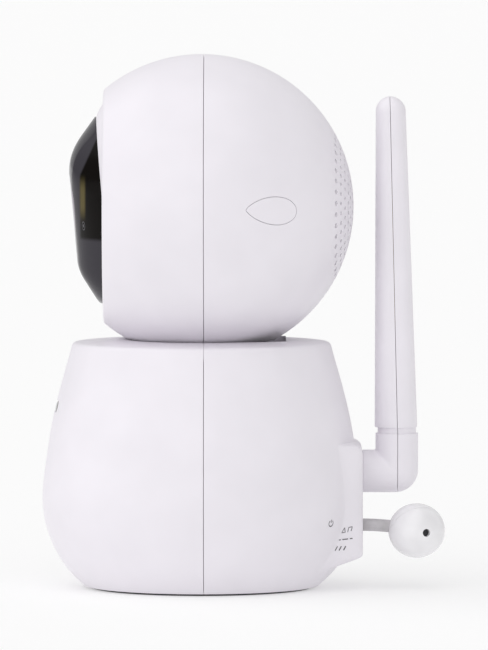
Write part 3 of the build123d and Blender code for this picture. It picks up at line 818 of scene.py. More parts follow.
class Wardrobe:
    """Makes each finish once and dresses pieces with it."""

    def __init__(self) -> None:
        """Starts with no material made."""
        self.made: dict[Finish, bpy.types.Material] = {}

    def of(self, finish: Finish) -> bpy.types.Material:
        """The material of a finish, made on first use."""
        if finish not in self.made:
            self.made[finish] = finish.value.material()
        return self.made[finish]

    def dress(self, obj: bpy.types.Object, finish: Finish) -> bpy.types.Object:
        """Gives a mesh one material all over."""
        obj.data.materials.clear()
        obj.data.materials.append(self.of(finish))
        return obj

    def dress_frame(self) -> None:
        """Gives every CAD node the finish of its slot in the record."""
        for part in frame["record"]["subparts"]:
            node = frame["nodes"][part["node"]]
            material = self.of(Finish[part["material_slot"].upper()])
            if not node.material_slots:
                node.data.materials.append(material)
            for held in node.material_slots:
                held.material = material


WARDROBE = Wardrobe()


def mount(obj: bpy.types.Object, body: str, finish: Finish, slot: str, *nodes: str) -> bpy.types.Object:
    """Dresses a piece, rides it on a body and hides the CAD nodes that it stands for.

    Args:
        obj: The piece.
        body: The CAD body that it moves with.
        finish: Its finish.
        slot: The record's material slot; not used.
        *nodes: CAD nodes that it replaces.

    Returns:
        The piece.
    """
    WARDROBE.dress(obj, finish)
    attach(obj, body)
    if nodes:
        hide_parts(*nodes)
    log.info("%s rides on %s, %d faces", obj.name, body, len(obj.data.polygons))
    return obj


# --------------------------------------------------------------------------
# Base
# --------------------------------------------------------------------------
@dataclass
class BaseCasing:
    """Rounded base in two halves, with the dish on top and the flat connector face behind."""

    top_z: float
    rim_z: float = 58.2
    hole_r: float = 15.0
    seam_y: float = 0.6
    wall: float = 2.0
    ball_r: float = 36.35
    ball_z: float = 90.4
    zone: float = 18.0
    groove: float = 0.07
    window_w: float = 13.0
    window_h: float = 2.7
    window_z: float = 43.2
    fillet: float = 1.2
    rim_slope: float = 0.0667
    reset_hole: tuple[float, float] = (12.0, 0.55)

    # Side as (radius, height), and the flat face's outline as (height, distance back).
    side: tuple = (
        (27.9, 0.6), (31.3, 3.9), (35.1, 9.9), (37.2, 16.2), (37.7, 20.9),
        (36.8, 30.5), (35.8, 37.1), (34.2, 44.7), (31.65, 54.0),
    )
    block_side: tuple = (
        (4.5, 20.0), (5.6, 31.4), (7.7, 37.2), (8.2, 37.9), (8.7, 38.1), (32.5, 38.1),
        (33.3, 37.9), (34.0, 37.4), (34.6, 36.3), (35.0, 20.0),
    )

    def outer_line(self) -> np.ndarray:
        """Outside from the bottom lip over the top edge and down into the dish, as (radius, z)."""
        lean = math.radians(15.0)
        mid = np.array([29.56, self.rim_z - 1.14])
        start = mid + self.fillet * np.array([math.cos(lean), math.sin(lean)])
        side = smooth_line([*self.side, start], 116)
        turn = np.linspace(lean, math.pi / 2 - self.rim_slope, 9)[1:]
        edge = mid + self.fillet * np.c_[np.cos(turn), np.sin(turn)]
        lip_r = math.sqrt(self.ball_r**2 - (self.ball_z - self.top_z) ** 2)
        flat = np.linspace(edge[-1], (lip_r + 0.35, self.top_z - 0.35 * self.rim_slope), 8)[1:]
        low_z = self.ball_z - math.sqrt(self.ball_r**2 - self.hole_r**2)
        near = np.array([lip_r - 0.32, self.top_z - 0.24])
        lip = bezier(flat[-1], (lip_r, self.top_z), near, 5)[1:]
        dish = np.linspace(near, (self.hole_r, low_z), 6)[1:]
        return np.concatenate([side, edge, flat, lip, dish])

    def inner_line(self, outer: np.ndarray) -> np.ndarray:
        """Inside of the wall, with as many points as the outside.

        Args:
            outer: The outside line.

        Returns:
            Points as (radius, z).
        """
        side = inset_line(outer[:116], self.wall)
        side[:, 1] = np.minimum(side[:, 1], self.rim_z - self.wall)
        rest = len(outer) - 116
        end = (outer[-1, 0] + 0.5, self.rim_z - self.wall)
        roof = np.linspace(side[-1], end, rest + 1)[1:]
        return np.concatenate([side, roof])

    def half_turn(self, line: np.ndarray, gaps: np.ndarray, rear: bool) -> np.ndarray:
        """Carries a line half way round, from the seam plane to the seam plane.

        Columns in the rear half follow lines of constant x across the connector
        face, and equal angles elsewhere.

        Args:
            line: Radius and height of each row.
            gaps: How far each row stays off the seam plane.
            rear: Whether this is the rear half.

        Returns:
            Grid of points.
        """
        r = line[:, 0:1]
        sign = 1.0 if rear else -1.0
        edge = np.arcsin((self.seam_y * sign + gaps[:, None]) / r)
        near = np.concatenate([np.linspace(self.zone, 11.0, 30)[:-1], np.linspace(11.0, 0.0, 12)])
        middle = np.concatenate([near, -near[::-1][1:]])
        block = np.arccos(np.clip(middle[None, :] / r, -1.0, 1.0))
        share = np.linspace(0.0, 1.0, 60)[None, :-1]
        first = edge + (block[:, :1] - edge) * share
        last = math.pi - first[:, ::-1]
        angle = np.concatenate([first, block, last], axis=1)
        grid = np.stack([r * np.cos(angle), sign * r * np.sin(angle),
                         np.broadcast_to(line[:, 1:2], angle.shape)], axis=-1)
        return grid

    def raise_block(self, grid: np.ndarray) -> None:
        """Pushes the rear surface out to the flat connector face.

        The push is the softened height of the face's side outline over the
        turned surface, times a smooth step in x at the block's sides.

        Args:
            grid: Points of the rear half, changed in place.
        """
        x, y, z = grid[..., 0], grid[..., 1], grid[..., 2]
        back = np.interp(z, *np.transpose(self.block_side))
        over = back - y
        push = 0.5 * (over + np.sqrt(over**2 + 0.04))
        push = np.where(over > -1.5, push, 0.0)
        step = np.clip((self.zone - 0.8 - np.abs(x)) / 5.4, 0.0, 1.0)
        step = step * step * (3.0 - 2.0 * step)
        grid[..., 1] = y + np.where(y > 0, np.maximum(push, 0.0) * step, 0.0)

    def shell(self, name: str, rear: bool) -> bpy.types.Object:
        """One half of the casing.

        Args:
            name: The piece's name.
            rear: Whether it is the rear half.

        Returns:
            The piece, without its openings.
        """
        outer = self.outer_line()
        inner = self.inner_line(outer)
        depth = np.full(len(outer), self.groove)
        depth[112:] = 0.03
        grid_out = self.half_turn(outer, depth, rear)
        grid_in = self.half_turn(inner, np.full(len(inner), 0.004), rear)
        if rear:
            self.raise_block(grid_out)
            self.raise_block(grid_in)
            block = np.abs(grid_out[..., 0]) < self.zone
            wall_y = grid_out[..., 1] - self.wall
            grid_in[..., 1] = np.where(block & (grid_out[..., 1] > 20), wall_y, grid_in[..., 1])
            grid_in[..., 0] = np.where(block, grid_in[..., 0] * 0.94, grid_in[..., 0])
        solid = Solid()
        solid.sheet(grid_out, grid_in, False)
        return solid.piece(name)

    def front_surface(self) -> Surface:
        """The front of the base as y(x, z), with a height along the outward normal's flat part."""
        line = self.outer_line()[:116]

        def place(x: np.ndarray, z: np.ndarray, height: float) -> np.ndarray:
            r = np.interp(z, line[:, 1], line[:, 0]) + height
            return np.stack([x, -np.sqrt(r**2 - x**2), z], axis=-1)

        return place

    def flank_surface(self) -> Surface:
        """The base's side as (degrees round from +X, z), with a height over it."""
        line = self.outer_line()[:116]

        def place(turn: np.ndarray, z: np.ndarray, height: float) -> np.ndarray:
            r = np.interp(z, line[:, 1], line[:, 0]) + height
            a = np.radians(turn)
            points = np.stack([r * np.cos(a), r * np.sin(a), z], axis=-1)
            self.raise_block(points)
            return points + 0.8 * height * np.array([1.0, 0.6, 0.0])

        return place

    def window_outline(self, grow: float) -> np.ndarray:
        """Pill outline of the front window, grown by a margin."""
        shift = (self.window_w - self.window_h) / 2
        return pill(self.window_h / 2 + grow, shift, 72) + (0.0, self.window_z)

    def rear_openings(self, shell: bpy.types.Object) -> None:
        """Cuts the antenna's bearing, the inlet, the probe's outlet and the buttons' holes.

        Args:
            shell: The rear half.
        """
        depth = (33.0, 41.0)
        holes = (("antenna_clip", 3.05), ("probe_grommet", 3.32),
                 ("power_button", 2.08), ("pair_button", 2.08))
        middles = np.array([sum(node_box(name)) / 2 for name, _ in holes])
        plug_low, plug_high = node_box("usb_socket")
        mid = (plug_low + plug_high) / 2
        half_w, _, half_h = (plug_high - plug_low) / 2 + 0.25
        outline = pill(half_h, half_w - half_h, 48)
        slot = Solid()
        slot.tube(np.stack([np.c_[mid[0] + outline[:, 0], np.full(48, y), mid[2] + outline[:, 1]]
                            for y in depth]))
        carve(shell, slot.piece("cutter"))
        carve(shell, rods(middles[:, [0, 2]], np.array([r for _, r in holes]), *depth, 1, 40))
        z, r = self.reset_hole
        carve(shell, rods(np.array([[mid[0], z]]), np.array([r]), *depth, 1, 20))

    def prints(self) -> bpy.types.Object:
        """Generic power mark and three rows of plain dashes, low on the flank."""
        surface = self.flank_surface()
        solid = Solid()
        step = 1.0 / math.radians(1.0) / 37.0

        def line(points: Sequence[Sequence[float]], row: tuple[float, float, float], squeeze: float) -> None:
            """Adds a stroke whose points are millimetres from the start of its row.

            Args:
                points: Points along the flank and up it.
                row: The row's place in degrees, its height, and its strokes' width.
                squeeze: Length along the flank, as a share of the plain side's.
            """
            turn, z, width = row
            p = np.asarray(points, float)
            p = np.concatenate([np.linspace(a, b, 5)[:-1] for a, b in zip(p[:-1], p[1:])] + [p[-1:]])
            stroke(solid, np.array([turn, z]) + p * (step * squeeze, 1.0), width, surface, 0.03)

        power, outlines = (54.8, 16.7, 0.22), (63.3, 14.1, 0.16)
        dashes, slants = (62.8, 12.4, 0.24), (62.2, 9.9, 0.24)
        turn = np.radians(np.linspace(125.0, 415.0, 24))
        line(0.72 * np.c_[np.cos(turn), np.sin(turn)], power, 1.15)
        line([(0.0, 0.1), (0.0, 0.9)], power, 1.15)
        line([(0.0, 0.0), (1.0, 0.1), (0.7, 1.2), (0.05, 0.1)], outlines, 0.72)
        line([(1.6, 0.1), (1.8, 1.2), (2.7, 1.35), (2.4, 0.3)], outlines, 0.72)
        for start, width in ((0.0, 0.5), (0.9, 1.3), (2.6, 0.6)):
            line([(start, 0.08 * start), (start + width, 0.08 * (start + width))], dashes, 0.72)
        for start in (0.0, 0.9, 1.8):
            line([(start, 0.0), (start + 0.45, 1.0)], slants, 0.72)
        return solid.piece("flank_marks", 60.0)

    def build(self) -> None:
        """Makes every visible piece of the base."""
        front = self.shell("base_front", rear=False)
        surface = self.front_surface()
        recess = patch("cutter", self.window_outline(0.09), surface, 1.5, -1.25)
        carve(front, recess)
        mount(front, "base", Finish.WHITE_SHELL, "white_shell", "base_front_shell")
        rear = self.shell("base_rear", rear=True)
        self.rear_openings(rear)
        mount(rear, "base", Finish.WHITE_SHELL, "white_shell", "base_rear_shell")
        window = patch("front_window", self.window_outline(-0.02), surface, -0.04, -1.2)
        mount(window, "base", Finish.INDICATOR_BLACK, "indicator_black", "indicator_window")
        mount(self.prints(), "base", Finish.PRINT_GREY, "chip_black")
        r0 = 21.5
        r1, _, h = node_box("foot_ring")[1]
        ring = [(r0, 0.4), (r0 + 0.4, 0.0), (r1 - 0.5, 0.0), (r1 - 0.12, 0.16), (r1, 0.5),
                (r1, h - 0.1), (r1 - 0.1, h), (r0 + 0.1, h), (r0, h - 0.1), (r0, 0.4)]
        foot = turned("foot", ring, (0, 0, 0), 2, 160)
        mount(foot, "base", Finish.FOOT_RUBBER, "foot_rubber", "foot_ring")


# --------------------------------------------------------------------------
# Head
# --------------------------------------------------------------------------
@dataclass
class Face:
    """The smoked face panel: a dome of soft facets over a rounded outline.

    Its height over the flat front is a soft minimum of a crest, a front that
    leans back downwards, a chin and two flanks.
    """

    centre_z: float
    half_w: float = 23.0
    half_h: float = 22.2
    drop: float = -0.9
    power: float = 2.5
    window_r: float = 8.6
    window_dz: float = -0.25
    thick: float = 1.5

    def outline(self, angle: np.ndarray, grow: float = 0.0) -> np.ndarray:
        """Outline points (x, z over the ball's centre) at each angle, grown by a margin."""
        r = superellipse(angle, self.half_w, self.half_h, self.power) + grow
        return np.c_[r * np.cos(angle), self.drop + r * np.sin(angle)]

    @staticmethod
    def rim(z: np.ndarray) -> np.ndarray:
        """How far the rim stands forward at a height: it rises over the upper half."""
        return 23.25 + 1.6 * np.clip((z - 3.0) / 18.3, 0.0, 1.0)

    def half_width(self, z: np.ndarray) -> np.ndarray:
        """Half width of the outline at a height."""
        rise = np.clip(np.abs(z - self.drop) / self.half_h, 0.0, 1.0)
        return self.half_w * (1.0 - rise**self.power) ** (1.0 / self.power)

    def forward(self, x: np.ndarray, z: np.ndarray) -> np.ndarray:
        """How far forward the face stands at (x, z)."""
        front = 31.35 + 0.0925 * (z - 8.1) - 0.0080 * x**2
        crest = 25.15 + 0.72 * (21.3 - z) - 0.0125 * x**2
        chin = 24.0 + 0.64 * (z + 23.1) - 0.004 * x**2
        body = soft_min(soft_min(crest, front, 3.8), chin, 1.2)
        flank = self.rim(z) + 0.61 * (self.half_width(z) - np.abs(x))
        soft = 0.12 + 3.2 * np.clip((9.0 - z) / 6.0, 0.0, 1.0)
        return soft_min(body, flank, soft)

    def surface(self) -> Surface:
        """The face as a surface over (x, z), with a height along -Y."""

        def place(x: np.ndarray, z: np.ndarray, height: float) -> np.ndarray:
            return np.stack([x, -(self.forward(x, z) + height), self.centre_z + z], axis=-1)

        return place

    def window_ring(self, grow: float, angle: np.ndarray) -> np.ndarray:
        """Circle of the lens window, grown by a margin."""
        r = self.window_r + grow
        return np.c_[r * np.cos(angle), self.window_dz + r * np.sin(angle)]

    def panel(self) -> bpy.types.Object:
        """The panel with its round opening: rings run from the opening to the outline."""
        angle = np.linspace(0.0, TAU, 288, endpoint=False)
        ring, edge = self.window_ring(0.07, angle), self.outline(angle, -0.14)
        share = np.r_[np.linspace(0.0, 1.0, 84), 1.0, 1.0]
        flat = ring[None] + share[:, None, None] * (edge - ring)[None]
        outer = self.surface()(flat[..., 0], flat[..., 1], 0.0)
        inner = self.surface()(flat[..., 0] * 0.965, flat[..., 1] * 0.965, -self.thick)
        inner[..., 1] = np.minimum(inner[..., 1], -21.9)
        outer[-2, :, 1] += 0.12
        outer[-1, :, 1] = -21.3
        inner[-1, :, 1] = -21.3
        inner[-2, :, 1] = np.minimum(inner[-2, :, 1], -21.5)
        solid = Solid()
        solid.sheet(outer, inner, True)
        return solid.piece("face", 24.0)

    def build(self) -> None:
        """Makes the panel, the lens window, the lens and the painted LED glints."""
        mount(self.panel(), "head", Finish.FACE_GLOSS, "face_gloss", "face_panel")
        angle = np.linspace(0.0, TAU, 144, endpoint=False)
        window = patch("window", self.window_ring(-0.02, angle), self.surface(), 0.0, -self.thick,
                       rows=24, centre=(0.0, self.window_dz))
        mount(window, "head", Finish.WINDOW_GLASS, "window_glass", "lens_window")
        self.lens()
        self.sensor_mark()

    def lens(self) -> None:
        """Stepped barrel and domed front element of the lens, turned about the lens axis."""
        low, high = node_box("lens_barrel")
        mid = (low + high) / 2
        origin = (mid[0], 0.0, mid[2])
        front, back = low[1], high[1]
        barrel = [(4.6, front + 1.9), (5.3, front + 0.25), (5.7, front), (6.3, front), (6.5, front + 0.2),
                  (6.5, front + 2.6), (7.2, front + 2.8), (7.4, front + 3.0), (7.4, back - 1.9),
                  (6.5, back - 1.7), (6.5, back), (5.0, back), (4.6, front + 1.9)]
        mount(turned("barrel", barrel, origin, 1), "head", Finish.INNER_PLASTIC, "inner_plastic",
              "lens_barrel")
        lens_r, bulge = 5.0, 0.62
        turn = bulge * np.linspace(0.0, 1.0, 14)
        dome = np.c_[lens_r * np.sin(turn) / math.sin(bulge), front + 0.35 + 7.6 * (1 - np.cos(turn))]
        glass = np.concatenate([dome, [(lens_r, front + 2.6), (0.0, front + 2.6)]])
        mount(turned("front_lens", glass, origin, 1, crease=50.0), "head", Finish.LENS_COATED,
              "window_glass", "lens_glass")

    def sensor_mark(self) -> None:
        """Thin grey ring and a dot on each flank: a painted highlight, the glint of an LED under the smoked
        cover, and its twin.
        """
        surface = self.surface()
        turn = np.linspace(0.0, TAU, 41)[:-1]
        for side, name in ((1.0, "painted_led_glint_left"), (-1.0, "painted_led_glint_right")):
            solid = Solid()
            mid = np.array([14.4 * side, -4.1])
            # Ring and dot are a painted highlight, drawn in the print grey.
            for r, width in ((0.95, 0.16), (0.22, 0.3)):
                x, z = np.moveaxis([mid + (r + w) * np.c_[0.8 * np.cos(turn), np.sin(turn)]
                                    for w in (-width / 2, width / 2)], 2, 0)
                solid.sheet(surface(x, z, 0.015), surface(x, z, -0.05), True)
            mount(solid.piece(name, 60.0), "head", Finish.PRINT_GREY, "chip_black")


@dataclass
class HeadCasing:
    """The ball: front half with a flat brow plane, rear half with the speaker's holes."""

    face: Face
    radius: float
    centre_z: float
    wall: float = 2.0
    seam_y: float = 0.6
    plane_y: float = -23.2
    groove: float = 0.07
    slot_half_x: float = 6.8
    slot_angle: float = 28.0
    brow_reach: float = 3.1
    plug_mid: tuple[float, float] = (17.3, 0.08)

    rings: tuple = (
        (0.0, 1, 0.5, 0.0), (2.4, 7, 0.5, 0.0), (4.9, 14, 0.5, 0.5), (7.3, 20, 0.5, 0.0),
        (9.7, 26, 0.5, 0.5), (12.2, 34, 0.5, 0.0), (14.6, 40, 0.5, 0.5), (17.0, 40, 0.62, 0.5),
    )

    def ring_grid(self, y: np.ndarray, r: np.ndarray, angle: np.ndarray) -> np.ndarray:
        """Rings about the ball's Y axis: one row per (y, r) pair."""
        return np.stack([r[:, None] * np.cos(angle), np.broadcast_to(y[:, None], (len(y), len(angle))),
                         self.centre_z + r[:, None] * np.sin(angle)], axis=-1)

    @staticmethod
    def ball_rows(radius: float, start: float, end: float, count: int) -> tuple[np.ndarray, np.ndarray]:
        """Distances along Y and ring radii on a ball between two planes of constant y."""
        turn = np.linspace(math.acos(start / radius), math.acos(end / radius), count)
        return radius * np.cos(turn), radius * np.sin(turn)

    def front(self) -> bpy.types.Object:
        """Front half: the ball down to the flat plane, the brow, then the opening's wall."""
        angle = np.linspace(0.0, TAU, 256, endpoint=False)
        edge = self.seam_y - self.groove
        y, r = self.ball_rows(self.radius, edge - 0.05, self.plane_y + 0.55, 70)
        y = np.r_[edge + self.groove * 0.8, edge, y]
        r = np.r_[self.radius - 0.9, self.radius - 0.05, r]
        corner = math.sqrt(self.radius**2 - self.plane_y**2)
        turn = bezier((y[-1], r[-1]), (self.plane_y, corner), (self.plane_y, corner - 0.7), 6)[1:]
        rows = self.ring_grid(np.r_[y, turn[:, 0]], np.r_[r, turn[:, 1]], angle)
        start = rows[-1][:, [0, 2]] - (0.0, self.centre_z)
        outline = self.face.outline(angle)
        reach = np.linalg.norm(start - outline, axis=1)
        share = 1.0 - (1.0 - np.linspace(0.0, 1.0, 26)[1:]) ** 1.3
        flat = start[None] + share[:, None, None] * (outline - start)[None]
        away = (1.0 - share[:, None]) * reach[None]
        rise = (self.face.rim(outline[:, 1]) + self.plane_y)[None]
        slope = np.clip(1.0 - away / np.minimum(self.brow_reach, reach)[None], 0.0, 1.0)
        brow = self.plane_y - rise * (slope + 0.12 * np.sin(math.pi * slope))
        brow[-1] += 0.1
        flat_rows = np.stack([flat[..., 0], brow, self.centre_z + flat[..., 1]], axis=-1)
        outer = np.concatenate([rows, flat_rows])
        inner_r = self.radius - self.wall
        back = self.plane_y + self.wall
        yi, ri = self.ball_rows(inner_r, self.seam_y, back, len(rows))
        inner_rows = self.ring_grid(yi, ri, angle)
        start_in = inner_rows[-1][:, [0, 2]] - (0.0, self.centre_z)
        flat_in = start_in[None] + share[:, None, None] * (outline - start_in)[None]
        inner_flat = np.stack([flat_in[..., 0], np.full(flat_in.shape[:2], back),
                               self.centre_z + flat_in[..., 1]], axis=-1)
        solid = Solid()
        solid.sheet(outer, np.concatenate([inner_rows, inner_flat]), True)
        return solid.piece("head_front")

    def rear(self) -> bpy.types.Object:
        """Rear half: the ball from the seam to its rear pole."""
        angle = np.linspace(0.0, TAU, 256, endpoint=False)
        edge = self.seam_y + self.groove
        y, r = self.ball_rows(self.radius, edge + 0.05, self.radius, 96)
        y = np.r_[edge - self.groove * 0.8, edge, y]
        r = np.r_[self.radius - 0.9, self.radius - 0.05, r]
        yi, ri = self.ball_rows(self.radius - self.wall, self.seam_y, self.radius - self.wall, len(y))
        solid = Solid()
        solid.sheet(self.ring_grid(y, r, angle), self.ring_grid(yi, ri, angle), True, Ends.FIRST)
        return solid.piece("head_rear")

    def slot_cutter(self) -> bpy.types.Object:
        """Wedge about the tilt axis that opens the ball's underside for the yoke's neck."""
        half = math.radians(self.slot_angle)
        turn = np.linspace(-half, half, 24)
        fan = np.c_[np.sin(turn), -np.cos(turn)]
        ring = np.concatenate([10.0 * fan, 44.0 * fan[::-1]])
        grid = np.stack([np.c_[np.full(len(ring), x), ring[:, 0], self.centre_z + ring[:, 1]]
                         for x in (-self.slot_half_x, self.slot_half_x)])
        solid = Solid()
        solid.tube(grid)
        return solid.piece("cutter")

    def teardrop(self, grow: float) -> np.ndarray:
        """Teardrop outline (y, z over the centre): z follows sin t times the root of sin t/2."""
        t = np.linspace(0.0, TAU, 120, endpoint=False)
        y = 16.44 - 5.9 * np.cos(t)
        line = np.c_[y, 0.776 - 0.04 * y + 3.8 * np.sin(t) * np.sqrt(np.sin(t / 2))]
        run = np.roll(line, -1, axis=0) - np.roll(line, 1, axis=0)
        out = np.c_[run[:, 1], -run[:, 0]] / np.linalg.norm(run, axis=1)[:, None]
        away = np.sign(((line - line.mean(axis=0)) * out).sum(axis=1))[:, None]
        return line + grow * out * away

    def side_surface(self, side: float) -> Surface:
        """The ball's side over (y, z), with a height along its radius."""

        def place(y: np.ndarray, z: np.ndarray, height: float) -> np.ndarray:
            x = side * np.sqrt(self.radius**2 - y**2 - z**2)
            share = 1.0 + height / self.radius
            return np.stack([x * share, y * share, self.centre_z + z * share], axis=-1)

        return place

    def grille(self) -> bpy.types.Object:
        """Rings of sound holes about the rear pole."""
        centres, radii = [], []
        for ring_r, count, hole_r, start in self.rings:
            a = TAU * (np.arange(count) + start) / count
            centres.append(np.c_[ring_r * np.cos(a), self.centre_z + ring_r * np.sin(a)])
            radii.append(np.full(count, hole_r))
        return rods(np.concatenate(centres), np.concatenate(radii), 28.0, 38.0, 1, 12)

    def build(self) -> None:
        """Makes both halves and the teardrop plugs."""
        front = self.front()
        carve(front, self.slot_cutter())
        mount(front, "head", Finish.WHITE_SHELL, "white_shell", "head_front_shell")
        rear = self.rear()
        carve(rear, self.slot_cutter())
        plugs = []
        for side, name in ((1.0, "plug_left"), (-1.0, "plug_right")):
            surface = self.side_surface(side)
            carve(rear, patch("cutter", self.teardrop(0.06), surface, 1.0, -1.15, centre=self.plug_mid))
            plugs.append(patch(name, self.teardrop(-0.04), surface, -0.02, -1.1, 18, self.plug_mid))
        carve(rear, self.grille())
        mount(rear, "head", Finish.WHITE_SHELL, "white_shell", "head_rear_shell")
        for plug in plugs:
            mount(plug, "head", Finish.WHITE_SHELL, "white_shell", "side_plugs")


# --------------------------------------------------------------------------
# Antenna
# --------------------------------------------------------------------------
@dataclass
class Antenna:
    """Swivelling paddle antenna: a round elbow in two halves and a flattened blade in two halves."""

    axis_z: float
    upright_y: float
    start_y: float
    joint_z: float = 36.6
    base_z: float = 38.0
    top_z: float = 116.2
    radius: float = 5.05
    seam_gap: float = 0.11

    def elbow(self) -> bpy.types.Object:
        """Round section carried back and then up.

        Each long line of the section has its own corner radius, softly equal to
        its distance outside the bend, so the outside is a ball and the inside is
        nearly sharp.
        """
        turn = np.linspace(0.0, TAU, 64, endpoint=False)
        out = self.radius * np.cos(turn)
        side = self.radius * np.sin(turn)
        bend = 0.35 + 0.5 * (out + np.sqrt(out**2 + 0.6))
        corner_y, corner_z = self.upright_y + out, self.axis_z - out
        rows = []
        for share in np.linspace(0.0, 1.0, 10):
            y = self.start_y + share * (corner_y - bend - self.start_y)
            rows.append(np.c_[side, y, corner_z])
        for a in np.linspace(0.0, math.pi / 2, 22)[1:]:
            y, z = corner_y - bend * (1 - math.sin(a)), corner_z + bend * (1 - math.cos(a))
            rows.append(np.c_[side, y, z])
        for share in np.linspace(0.0, 1.0, 12)[1:]:
            z = corner_z + bend + share * (self.joint_z - corner_z - bend)
            rows.append(np.c_[side, corner_y, z])
        neck = 1.0 - 0.5 / self.radius
        last = rows[-1]
        mid = np.array([0.0, self.upright_y])
        edge = 1.0 - 0.08 / self.radius
        for z, share in ((self.joint_z, edge), (self.joint_z + 0.05, neck), (self.base_z + 0.2, neck)):
            rows.append(np.c_[mid + (last[:, :2] - mid) * share, np.full(len(last), z)])
        rows[0][:, 0] *= 0.97
        rows[0][:, 2] = self.axis_z + (rows[0][:, 2] - self.axis_z) * 0.97
        rows.insert(1, np.c_[side, np.full(64, self.start_y + 0.15), corner_z])
        solid = Solid()
        solid.tube(np.stack(rows))
        return solid.piece("elbow", 35.0)

    def blade(self) -> bpy.types.Object:
        """Superellipse section that thins towards a rounded top."""
        turn = np.linspace(0.0, TAU, 96, endpoint=False)
        base_z, round_r = self.base_z, 3.5
        body = np.linspace(base_z + 0.25, self.top_z - round_r, 60)
        tip = self.top_z - round_r + round_r * np.sin(np.linspace(0.0, 1.45, 12)[1:])
        z = np.r_[base_z, base_z + 0.08, body, tip]
        pull = np.r_[0.25, 0.08, np.zeros(60),
                     round_r - np.sqrt(np.maximum(round_r**2 - (tip - self.top_z + round_r) ** 2, 0.0))]
        rise = (z - base_z) / (self.top_z - base_z)
        front = 41.05 + 0.2 * rise + pull
        back = 51.15 - 2.95 * rise - pull
        half_y, mid_y = (back - front) / 2, (back + front) / 2
        half_x = 5.1 + 0.75 * np.clip(rise * 3.0, 0.0, 1.0) - pull
        power = 2.0 + 0.7 * np.clip(rise * 4.0, 0.0, 1.0)
        c, s = np.cos(turn), np.sin(turn)
        x = half_x[:, None] * np.sign(s) * np.abs(s) ** (2.0 / power[:, None])
        y = mid_y[:, None] + half_y[:, None] * np.sign(c) * np.abs(c) ** (2.0 / power[:, None])
        solid = Solid()
        solid.tube(np.stack([x, y, np.broadcast_to(z[:, None], x.shape)], axis=-1))
        return solid.piece("blade", 35.0)

    def build(self) -> None:
        """Makes the four visible pieces."""
        parts = halves(self.elbow(), np.array([0, self.upright_y + 0.12, 0]), np.array([0, 1.0, 0]),
                       self.seam_gap, ("elbow_front", "elbow_rear"))
        for half in parts:
            mount(half, "antenna", Finish.WHITE_SHELL, "white_shell", "antenna_elbow")
        seam_y, top_seam_y = 46.35, 44.5
        lean = (seam_y - top_seam_y) / (self.top_z - self.base_z)
        normal = np.array([0.0, 1.0, lean]) / math.hypot(1.0, lean)
        parts = halves(self.blade(), np.array([0.0, seam_y, self.base_z]), normal, self.seam_gap,
                       ("blade_front", "blade_rear"))
        for half, node in zip(parts, ("antenna_blade_front", "antenna_blade_rear")):
            mount(half, "antenna", Finish.WHITE_SHELL, "white_shell", node)
        low, high = node_box("antenna_clip")
        mid = (low + high) / 2
        end = self.start_y + 0.4
        shaft = [(0.0, 33.0), (2.6, 33.0), (2.95, 33.3), (2.95, end), (0.0, end)]
        mount(turned("pivot", shaft, (mid[0], 0.0, mid[2]), 1), "antenna", Finish.WHITE_SHELL, "white_shell")


